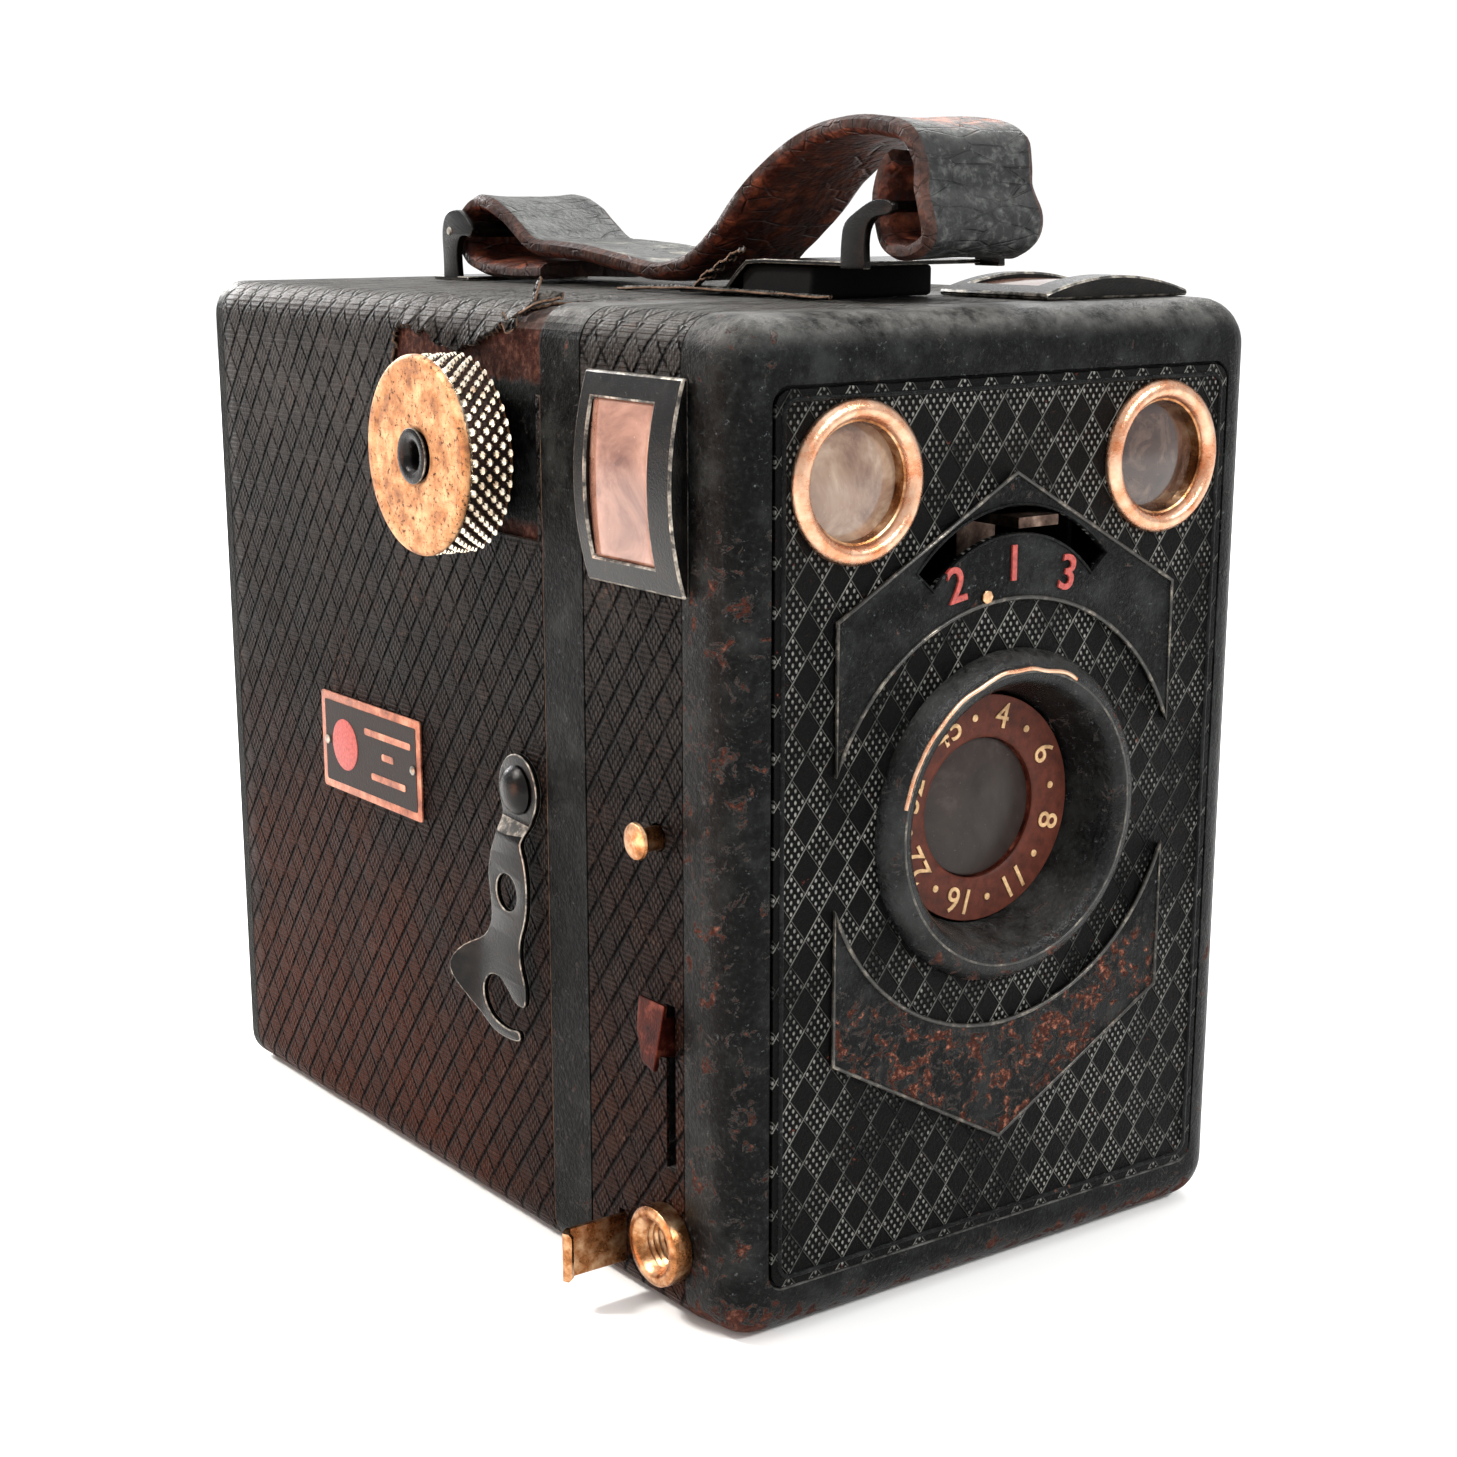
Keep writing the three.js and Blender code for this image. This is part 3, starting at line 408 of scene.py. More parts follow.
def strap_outside():
    """The strap's black face, with a copper-coloured worn patch high on the front loop, and pale streaks
    where it dips over the top that are a painted sheen.
    """
    s = Shader("strap_outside")
    fibres = s.noise(0.7, 6, 0.7)
    cracks = s.cells(0.3, "DISTANCE_TO_EDGE", stretch=(0.6, 1.7, 1.7))
    split = s.times(s.rise(cracks, 0.06, 0.0), s.rise(s.noise(0.16, 3), 0.35, 0.6))
    tone = s.ramp(fibres, (0.25, "080808"), (0.5, "1a1b1b"), (0.75, "525452"))
    # Pale streaks where the strap dips over the top: painted sheen.
    dip = s.box((-20, -24, 112), (20, 22, 124), 4)
    sheen_streaks = s.rise(s.noise(0.35, 6, 0.75, stretch=(0.6, 0.35, 0.35)), 0.52, 0.66)
    tone = s.tint(s.times(s.times(sheen_streaks, dip), 0.8), tone, rgb("9a9488"))
    patch = s.times(s.box((-4, -50, 130), (8, -41, 136), 2), s.rise(s.noise(0.5, 6, 0.7), 0.38, 0.6))
    tone = s.tint(patch, tone, s.ramp(s.noise(1.1, 5), (0.3, "7a3418"), (0.7, "c06a3a")))
    specks = s.rise(s.noise(1.4, 7, 0.75), 0.62, 0.68)
    tone = s.tint(s.times(specks, 0.5), tone, rgb("6e6a64"))
    # Pale dust, and a painted sheen, on the strap's upward faces.
    tone = s.dust_and_top_sheen(tone, 0.3, "8d8f8a")
    height = s.plus(s.times(s.cells(1.2), 0.4), fibres)
    height = s.minus(height, s.times(split, 1.2))
    return s.done(
        Base_Color=tone,
        Roughness=s.plus(s.times(fibres, 0.45), 0.28),
        Specular_IOR_Level=0.22,
        Normal=s.bump(height, 0.2),
    )


def red_paint(name, code, missing):
    s = Shader(name)
    gone = s.rise(s.noise(1.1, 6, 0.7), missing, missing + 0.1)
    tone = s.ramp(s.noise(2.2, 4), (0.3, code), (0.7, "a8443a"))
    return s.done(
        Base_Color=s.tint(gone, tone, rgb("1a1211")),
        Roughness=s.plus(s.times(s.noise(1.5), 0.3), 0.3),
        Normal=s.bump(s.noise(3, 4), 0.06),
    )


def dusty_glass(name, *stops, clear, smear, roughness=0.06, varnish=0.8, shine=0.5):
    """Glass with a dusty bloom: clear is how much light it passes."""
    s = Shader(name)
    bloom = s.noise(smear, 5, 0.65, distortion=0.8)
    dust = s.rise(s.noise(2.4, 7, 0.8), 0.62, 0.7)
    tone = s.tint(s.times(dust, 0.35), s.ramp(bloom, *stops), rgb("b9aa9c"))
    return s.done(
        Base_Color=tone,
        Roughness=s.plus(s.times(dust, 0.35), roughness),
        Transmission_Weight=clear,
        IOR=1.5,
        Specular_IOR_Level=shine,
        Coat_Weight=varnish,
        Coat_Roughness=0.04,
        Normal=s.bump(s.noise(0.5, 3), 0.01),
    )


def plain_black(name, code, lighter, roughness=0.6):
    s = Shader(name)
    mottle = s.noise(0.8, 5, 0.65)
    tone = s.ramp(mottle, (0.3, code), (0.7, lighter))
    tone = s.tint(s.rise(s.noise(1.7, 7, 0.75), 0.66, 0.7), tone, rgb("4a3a30"))
    return s.done(
        Base_Color=tone,
        Roughness=s.plus(s.times(mottle, 0.25), roughness - 0.12),
        Specular_IOR_Level=0.15,
        Normal=s.bump(s.noise(3, 4), 0.05),
    )


# ---- meshes ----

AXES = {
    "x": (Vector((0, 1, 0)), Vector((0, 0, 1)), Vector((1, 0, 0))),
    "y": (Vector((1, 0, 0)), Vector((0, 0, 1)), Vector((0, 1, 0))),
    "z": (Vector((1, 0, 0)), Vector((0, 1, 0)), Vector((0, 0, 1))),
}


def bridge(bm, ring, following):
    """Faces between two closed rings of points, either of which may be a single point."""
    count = max(len(ring), len(following))
    for i in range(count):
        j = (i + 1) % count
        if len(ring) == 1:
            bm.faces.new((ring[0], following[j], following[i]))
        elif len(following) == 1:
            bm.faces.new((ring[i], ring[j], following[0]))
        else:
            bm.faces.new((ring[i], ring[j], following[j], following[i]))


def lathe(axis, centre, profile, sides=72, closed=True, bm=None):
    """A profile of (radius, place along the axis) turned round an axis through a centre."""
    first, second, along = AXES[axis]
    bm = bm or bmesh.new()
    middle = Vector(centre)
    middle -= along * middle.dot(along)
    rings = []
    for radius, place in profile:
        spot = middle + along * place
        if radius < 1e-6:
            rings.append([bm.verts.new(spot)])
            continue
        turns = [TAU * i / sides for i in range(sides)]
        rings.append(
            [bm.verts.new(spot + radius * (first * math.cos(t) + second * math.sin(t))) for t in turns]
        )
    pairs = list(zip(rings, rings[1:]))
    if closed and len(rings[0]) > 1 and len(rings[-1]) > 1:
        pairs.append((rings[-1], rings[0]))
    for ring, following in pairs:
        if len(ring) > 1 or len(following) > 1:
            bridge(bm, ring, following)
    return bm


def block(low, high, bm=None):
    bm = bm or bmesh.new()
    corners = [
        bm.verts.new((x, y, z))
        for x in (low[0], high[0])
        for y in (low[1], high[1])
        for z in (low[2], high[2])
    ]
    for face in ((0, 1, 3, 2), (4, 6, 7, 5), (0, 4, 5, 1), (2, 3, 7, 6), (0, 2, 6, 4), (1, 5, 7, 3)):
        bm.faces.new([corners[i] for i in face])
    return bm


def loft(rings, bm=None, ends=False):
    """A skin through closed rings of places that all have as many points."""
    bm = bm or bmesh.new()
    made = [[bm.verts.new(p) for p in ring] for ring in rings]
    for ring, following in zip(made, made[1:]):
        bridge(bm, ring, following)
    if ends:
        bm.faces.new(made[0])
        bm.faces.new(reversed(made[-1]))
    else:
        bridge(bm, made[-1], made[0])
    return bm


def smooth_line(points, steps=6, closed=False):
    """A Catmull-Rom curve through points."""
    spots = [Vector(p) for p in points]
    count = len(spots)
    out = []
    for i in range(count if closed else count - 1):
        around = []
        for k in (-1, 0, 1, 2):
            j = i + k
            around.append(spots[j % count] if closed else spots[min(max(j, 0), count - 1)])
        p0, p1, p2, p3 = around
        for step in range(steps):
            t = step / steps
            out.append(
                0.5
                * (
                    2 * p1
                    + (p2 - p0) * t
                    + (2 * p0 - 5 * p1 + 4 * p2 - p3) * t**2
                    + (3 * p1 - p0 - 3 * p2 + p3) * t**3
                )
            )
    if not closed:
        out.append(spots[-1])
    return out


def circle(centre, radius, sides=64, start=0.0, sweep=TAU):
    count = sides if sweep == TAU else sides + 1
    turns = [start + sweep * i / sides for i in range(count)]
    return [(centre[0] + radius * math.cos(t), centre[1] + radius * math.sin(t)) for t in turns]


def rounded_box(half_width, low, high, radius, steps=8):
    """The outline of a rectangle with round corners, centred across."""
    corners = (
        (half_width - radius, low + radius, -90),
        (half_width - radius, high - radius, 0),
        (radius - half_width, high - radius, 90),
        (radius - half_width, low + radius, 180),
    )
    points = []
    for x, y, start in corners:
        points += circle((x, y), radius, steps, math.radians(start), math.radians(90))
    return points


def mesh_of(data):
    """The bmesh of a curve or text, which is then thrown away."""
    holder = bpy.data.objects.new("holder", data)
    bpy.context.scene.collection.objects.link(holder)
    evaluated = holder.evaluated_get(bpy.context.evaluated_depsgraph_get())
    bm = bmesh.new()
    bm.from_mesh(evaluated.to_mesh())
    evaluated.to_mesh_clear()
    bpy.data.objects.remove(holder)
    return bm


def plate(outlines, thickness, bevel=0.0):
    """A flat sheet with holes: the first outline is its edge and the others are the holes. Lies across z."""
    curve = bpy.data.curves.new("outline", "CURVE")
    curve.dimensions = "2D"
    curve.fill_mode = "BOTH"
    curve.extrude = thickness / 2 - bevel
    curve.bevel_depth = bevel
    curve.bevel_resolution = 2
    curve.offset = -bevel
    for outline in outlines:
        spline = curve.splines.new("POLY")
        spline.points.add(len(outline) - 1)
        for point, (a, b) in zip(spline.points, outline):
            point.co = (a, b, 0, 1)
        spline.use_cyclic_u = True
    bm = mesh_of(curve)
    bmesh.ops.remove_doubles(bm, verts=bm.verts, dist=0.002)
    return bm


def wire(points, radius, closed=False):
    """A round bead along points."""
    curve = bpy.data.curves.new("line", "CURVE")
    curve.dimensions = "3D"
    curve.bevel_depth = radius
    curve.bevel_resolution = 3
    curve.use_fill_caps = True
    spline = curve.splines.new("POLY")
    spline.points.add(len(points) - 1)
    for point, place in zip(spline.points, points):
        point.co = (*place, 1)
    spline.use_cyclic_u = closed
    return mesh_of(curve)


def characters(text, size, depth):
    curve = bpy.data.curves.new("text", "FONT")
    curve.body = text
    curve.size = size
    curve.align_x = "CENTER"
    curve.align_y = "CENTER"
    curve.extrude = depth
    curve.bevel_depth = depth / 2
    curve.resolution_u = 4
    return mesh_of(curve)


def joined(*parts):
    """Several bmeshes as one."""
    whole = parts[0]
    for part in parts[1:]:
        mesh = bpy.data.meshes.new("part")
        part.to_mesh(mesh)
        part.free()
        whole.from_mesh(mesh)
        bpy.data.meshes.remove(mesh)
    return whole


def moved(bm, matrix):
    bmesh.ops.transform(bm, matrix=matrix, verts=bm.verts)
    return bm


def facing_front(y):
    """Stands a flat shape up: its x stays, its y becomes height, and its z points out of the front."""
    return Matrix(((1, 0, 0, 0), (0, 0, -1, y), (0, 1, 0, 0), (0, 0, 0, 1)))


def facing_side(x, side=-1):
    """Stands a flat shape on a side wall: its x becomes y, its y becomes height."""
    return Matrix(((0, 0, side, x), (1, 0, 0, 0), (0, 1, 0, 0), (0, 0, 0, 1)))


def carved(bm, cutter):
    """One solid less another."""
    holders = []
    for part in (bm, cutter):
        bmesh.ops.recalc_face_normals(part, faces=part.faces)
        mesh = bpy.data.meshes.new("part")
        part.to_mesh(mesh)
        part.free()
        holder = bpy.data.objects.new("holder", mesh)
        bpy.context.scene.collection.objects.link(holder)
        holders.append(holder)
    tool = holders[0].modifiers.new("cut", "BOOLEAN")
    tool.operation = "DIFFERENCE"
    tool.solver = "EXACT"
    tool.object = holders[1]
    bpy.context.view_layer.update()
    evaluated = holders[0].evaluated_get(bpy.context.evaluated_depsgraph_get())
    result = bmesh.new()
    result.from_mesh(evaluated.to_mesh())
    evaluated.to_mesh_clear()
    for holder in holders:
        bpy.data.objects.remove(holder)
    return result


def piece(name, bm, materials, body, stands_for=(), sharp=38, bevel=0.0, worn=False, outward=True):
    """Makes a bmesh in millimetres an object of the model that rides on a body."""
    if outward:
        bmesh.ops.recalc_face_normals(bm, faces=bm.faces)
    limit = math.radians(sharp)
    for face in bm.faces:
        face.smooth = True
    for line in bm.edges:
        if len(line.link_faces) == 2 and line.calc_face_angle(0) > limit:
            line.smooth = False
    bmesh.ops.scale(bm, vec=(MM, MM, MM), verts=bm.verts)
    mesh = bpy.data.meshes.new(name)
    bm.to_mesh(mesh)
    bm.free()
    made = bpy.data.objects.new(name, mesh)
    bpy.context.scene.collection.objects.link(made)
    for material in materials:
        mesh.materials.append(material)
    if bevel:
        round_edges(made, bevel, len(materials) - 1 if worn else -1)
    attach(made, body)
    if stands_for:
        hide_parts(*stands_for)
    return made


def round_edges(made, width, material=-1):
    tool = made.modifiers.new("rounded", "BEVEL")
    tool.width = width * MM
    tool.segments = 2
    tool.limit_method = "ANGLE"
    tool.angle_limit = math.radians(40)
    tool.material = material
    tool.use_clamp_overlap = True


def dress(node, material, bevel=0.0):
    """Gives a CAD node that stays in the picture a finished material and softened edges."""
    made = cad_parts[node]
    made.data.materials.clear()
    made.data.materials.append(material)
    if "custom_normal" in made.data.attributes:
        made.data.attributes.remove(made.data.attributes["custom_normal"])
    weld = made.modifiers.new("weld", "WELD")
    weld.merge_threshold = 0.00001
    if bevel:
        round_edges(made, bevel)


def thicken(made, thickness, offset, rim=0):
    """Gives a sheet its thickness in millimetres; rim is how far on in its materials the cut edge's is."""
    tool = made.modifiers.new("thickness", "SOLIDIFY")
    tool.thickness = thickness * MM
    tool.offset = offset
    tool.material_offset_rim = rim


def skin_rows(bm, rows):
    """Faces between neighbouring rows of points, each open at its ends."""
    for row, following in zip(rows, rows[1:]):
        for k in range(len(row) - 1):
            bm.faces.new((row[k], row[k + 1], following[k + 1], following[k]))


def wandering(place, size, amount):
    """A small steady offset that changes over a distance of size millimetres."""
    return noise.noise(Vector(place) / size) * amount


# ---- what the CAD says ----

_, case_high, _ = extent("rear_case_shell")
front_low, _, _ = extent("front_shell")
wrap_low, wrap_high, _ = extent("leatherette_wrap")
panel_low, panel_high, _ = extent("front_panel")
_, _, lens_centre = extent("lens_barrel")
HALF, HEIGHT, CORNER = case_high.x, case_high.z, 4.5
PANEL_CORNER = 2
SLOT_CENTRE, SLOT_INNER, SLOT_OUTER, SLOT_HALF_ANGLE = (0, 73.8), 16, 19, 48.5
THREAD_PITCH, THREAD_DEPTH, THREAD_RADIUS = 0.75, 0.3, 3.1
NUMBER_CIRCLE = 11.0

LEATHERETTE = leatherette()
PANEL = embossed_panel()
FRONT_ENAMEL = enamel(
    "front_enamel",
    [
        ((-41, -62, 0), (-31, -50, 92), 0.075),
        ((-41, -64, -2), (41, -50, 4), 0.14),
        ((38, -64, 0), (42, -50, 90), 0.1),
        ((-41, -62, 108), (-20, -50, 116), 0.03),
        ((30, -62, 0), (41, -50, 40), 0.05),
    ],
)
CASE_ENAMEL = enamel(
    "case_enamel",
    [((-41, -34, 0), (-37, -22, 30), 0.05)],
    chips=0.35,
    shine=0.03,
    bare=[((-41, -24.2, 105.8), (-20, 10.5, 116)), ((-41, -24.2, 86), (-37, -12, 89.5))],
)
HEXAGON_ENAMEL = enamel(
    "hexagon_enamel",
    [((-27, -63, 10), (27, -60, 40), 0.17), ((-27, -63, 60), (-16, -60, 86), 0.03)],
    chips=0.8,
    gloss=0.26,
    rusty="b0745e",
    dust=0,
)
BARREL_ENAMEL = enamel(
    "barrel_enamel",
    [((-21, -66, 34), (21, -62.9, 80), 0.02), ((-21, -66, 34), (21, -56, 45), 0.07)],
    chips=0.7,
    gloss=0.1,
    shine=0.16,
    dust=0.12,
)
WORN_EDGE = worn_edge("worn_edge", 0.4, "6d665e", "b9b2a6")
RUBBED_RIDGE = worn_edge("rubbed_ridge", 0.47, "3a3733", "8d867b")
DARK_STEEL = metal(
    "dark_steel", (0.3, "040404"), (0.5, "0c0b0a"), (0.72, "221e1b"), roughness=0.2, spots="2c170e",
    polish=0.7
)
BRIGHT_STEEL = metal("bright_steel", (0.3, "77726a"), (0.5, "9b958b"), (0.75, "c4bfb5"), spots="4a3a2e")
APERTURE_STEEL = metal("aperture_steel", (0.3, "211915"), (0.5, "57463e"), (0.75, "a08a7c"), spots="4a2a1c")
BRASS = metal("brass", (0.28, "4c2814"), (0.48, "9c6840"), (0.72, "eac8a0"), roughness=0.26)
KNOB_PLATING = metal(
    "knob_plating",
    (0.3, "6a3f24"),
    (0.46, "a87448"),
    (0.66, "d3a87c"),
    roughness=0.5,
    spots="4a2a18",
    spotted=0.56,
    scratches=1.0,
    polish=0.55,
)
# The knob's metal in a near-white copy for the knurl's tips, a painted highlight, and a dark copy for its
# hollows, painted shade.
KNURL_TIP_HIGHLIGHT = metal("knurl_tip_highlight", (0.25, "a87f5c"), (0.42, "ecdcc4"), (0.7, "fff8ea"), roughness=0.24,
                  scratches=0.2)
KNURL_HOLLOW_SHADE = metal("knurl_hollow_shade", (0.3, "120906"), (0.6, "301a10"), (0.8, "5e3c28"), roughness=0.55,
                   polish=0.6)
COPPER = metal(
    "copper", (0.16, "6e2c12"), (0.42, "b96f45"), (0.64, "e2cbb2"), roughness=0.25, spotted=0.66,
    scratches=0.2,
    patchy=0.45
)
RED_COPPER = metal("red_copper", (0.3, "180806"), (0.5, "3d1811"), (0.75, "84493a"), roughness=0.4)
MIRROR = metal("mirror", (0.3, "c4c8ca"), (0.7, "e6e8e8"), roughness=0.12, spotted=0.72, scratches=0.1)
INNER_BLACK = plain_black("inner_black", "040404", "0f0e0e", 0.8)
SPOOL_BLACK = plain_black("spool_black", "141312", "2b2927", 0.5)
TORN_PAPER = plain_black("torn_paper", "2a1d16", "7a6250", 0.9)
PRINT_RED = red_paint("print_red", "7d2420", 0.6)
RUBY = dusty_glass("ruby", (0.3, "5a0606"), (0.7, "8e1414"), clear=0.4, smear=0.3)
RING_ENAMEL = plain_black("ring_enamel", "35170f", "54281c", 0.5)
CREAM = plain_black("cream_paint", "8a6a48", "d6b286", 0.5)
# The two finder glasses are one glass in two tones, the left paler and the right darker: painted reflection.
FINDER_GLASS_LEFT = dusty_glass(
    "finder_glass_left", (0.3, "4b3026"), (0.5, "7d6555"), (0.75, "ab9a88"), clear=0.1, smear=0.12,
    roughness=0.14,
    varnish=0.3
)
FINDER_GLASS_RIGHT = dusty_glass(
    "finder_glass_right", (0.3, "1d1411"), (0.5, "3a2a24"), (0.75, "6d5a50"), clear=0.1, smear=0.2,
    roughness=0.14,
    varnish=0.3
)
WINDOW_GLASS = dusty_glass(
    "window_glass", (0.3, "6b4336"), (0.5, "a57a68"), (0.75, "d3ae9a"), clear=0.3, smear=0.09, roughness=0.1,
    varnish=0.3
)
LENS_GLASS = dusty_glass(
    "lens_glass", (0.3, "1c1614"), (0.55, "2e2623"), (0.8, "4a413c"), clear=0.1, smear=0.1, roughness=0.3,
    varnish=0.0,
    shine=0.15
)
STRAP_TOP = strap_outside()
STRAP_UNDER = strap_leather(
    "strap_underside", (0.25, "150906"), (0.5, "3f1c12"), (0.75, "8a4a30"), cracked=0.6, gloss=0.3
)
STRAP_EDGE = strap_leather(
    "strap_cut_edge", (0.25, "0e0705"), (0.5, "2a1610"), (0.75, "583a2e"), cracked=0.4, gloss=0.38
)


# ---- rear case ----


def section_line(inset, fine_from, fine_top):
    """Points round the body's section, up the winder side first: x, z, and the way out."""
    points = []

    def stretch(start, end, coarse, fine, is_fine):
        place = 0.0
        length = math.dist(start, end)
        while place < length - 1e-6:
            t = place / length
            x, z = (start[i] + (end[i] - start[i]) * t for i in (0, 1))
            points.append((x, z))
            place += fine if is_fine(x, z) else coarse

    def corner(x, z, start, steps):
        points.extend(circle((x, z), CORNER - inset, steps, math.radians(start), math.radians(-90))[:-1])

    side, top = HALF - inset, HEIGHT - inset
    near, high = HALF - CORNER, HEIGHT - CORNER
    stretch((-side, CORNER), (-side, high), 2.7, 0.45, lambda x, z: z > fine_from)
    corner(-near, high, 180, 16)
    stretch((-near, top), (near, top), 2.7, 0.45, lambda x, z: x < fine_top)
    corner(near, high, 90, 8)
    stretch((side, high), (side, CORNER), 5, 5, lambda x, z: False)
    corner(near, CORNER, 0, 8)
    stretch((near, inset), (-near, inset), 5, 5, lambda x, z: False)
    corner(-near, CORNER, -90, 8)
    return points


TEAR = [(-26, 119), (-22.5, 117), (-19.5, 114), (-17.4, 112.4), (-14, 110.6), (-10.5, 109.6), (-7, 108.3),
        (-3.5, 108.6), (-0.5, 109.7), (3, 110.5), (6.5, 110.9), (8.6, 109.9), (9.6, 107.8), (9.7, 105)]


def torn_height(y):
    """How far up the side wall the leatherette has come away."""
    for (y0, z0), (y1, z1) in zip(TEAR, TEAR[1:]):
        if y0 <= y <= y1:
            ragged = wandering((y, 0, 0), 2.3, 0.9) + wandering((y, 4, 0), 0.7, 0.35)
            return z0 + (z1 - z0) * (y - y0) / (y1 - y0) + ragged
    return -1


def unrolled(x, z):
    """A height that runs on over the rounded top edge and across the top."""
    edge = HEIGHT - CORNER
    if z <= edge:
        return z
    if x <= CORNER - HALF:
        turn = math.atan2(z - edge, -(x + HALF - CORNER))
        return edge + CORNER * turn
    return edge + CORNER * math.pi / 2 + x + HALF - CORNER


def wrap_skin():
    section = section_line(0.0, 84, -22)
    fine, coarse, behind_tear = 0.45, 2.9, 12
    ys = []
    y = wrap_low.y
    while y < wrap_high.y:
        ys.append(y)
        y += fine if y < behind_tear else coarse
    ys.append(wrap_high.y)
    recess_low, recess_high, recess_front, recess_back = 87.6, 106.5, -23.0, 1.2
    curled = 3  # how far from the tear the edge curls up

    bm = bmesh.new()
    grid = []
    for y in ys:
        row = []
        for x, z in section:
            out = Vector((x - max(min(x, HALF - CORNER), CORNER - HALF), 0,
                          z - max(min(z, HEIGHT - CORNER), CORNER)))
            out.normalize()
            lift = wandering((x, y, z), 9, 0.07)
            if x < 0 and z > 80:
                gap = unrolled(x, z) - torn_height(y)
                if 0 < gap < curled and -20 < y < 11:
                    lift += (0.55 + wandering((y, 0, 5), 1.7, 0.5)) * (1 - gap / curled) ** 2
            jitter = Vector((0, wandering((x, y, z), 0.5, 0.12), wandering((z, y, x), 0.5, 0.12)))
            near_tear = x < -20 and z > 100 and y < behind_tear
            row.append(bm.verts.new(Vector((x, y, z)) + out * lift + (jitter if near_tear else Vector())))
        grid.append(row)
    count = len(section)
    for i in range(len(ys) - 1):
        for j in range(count):
            k = (j + 1) % count
            y = (ys[i] + ys[i + 1]) / 2
            x, z = (section[j][0] + section[k][0]) / 2, (section[j][1] + section[k][1]) / 2
            if x < 0 and z > 80:
                in_recess = x < -HALF + 1 and recess_front < y < recess_back and recess_low < z < recess_high
                in_tear = unrolled(x, z) < torn_height(y) and z > recess_high - 2
                if in_recess or in_tear:
                    continue
            bm.faces.new((grid[i][j], grid[i][k], grid[i + 1][k], grid[i + 1][j]))
    loose = [v for v in bm.verts if not v.link_faces]
    bmesh.ops.delete(bm, geom=loose, context="VERTS")
    made = piece(
        "leatherette_wrap_skin", bm, [LEATHERETTE, TORN_PAPER], "rear_case",
        ["leatherette_wrap"]
    )
    thicken(made, 0.3, -1, rim=1)


def flake(name, line, width, curl):
    """A scrap of torn leatherette along a line, its edges ragged."""
    spine = smooth_line(line, 5)
    across = Vector(width)
    bm = bmesh.new()
    rows = []
    for i, spot in enumerate(spine):
        share = i / (len(spine) - 1)
        narrow = 0.35 + 0.65 * math.sin(math.pi * min(1, 0.2 + share * 0.75))
        row = []
        for k in range(5):
            t = k / 4 - 0.5
            ragged = wandering((i * 0.7, k, len(name)), 1.0, 0.45)
            lift = Vector((0, 0, curl * (4 * t * t - 0.3)))
            place = spot + across * t * narrow + lift
            row.append(bm.verts.new(place + Vector((ragged, ragged, ragged * 0.5))))
        rows.append(row)
    skin_rows(bm, rows)
    made = piece(name, bm, [LEATHERETTE, TORN_PAPER], "rear_case")
    thicken(made, 0.25, 0, rim=1)


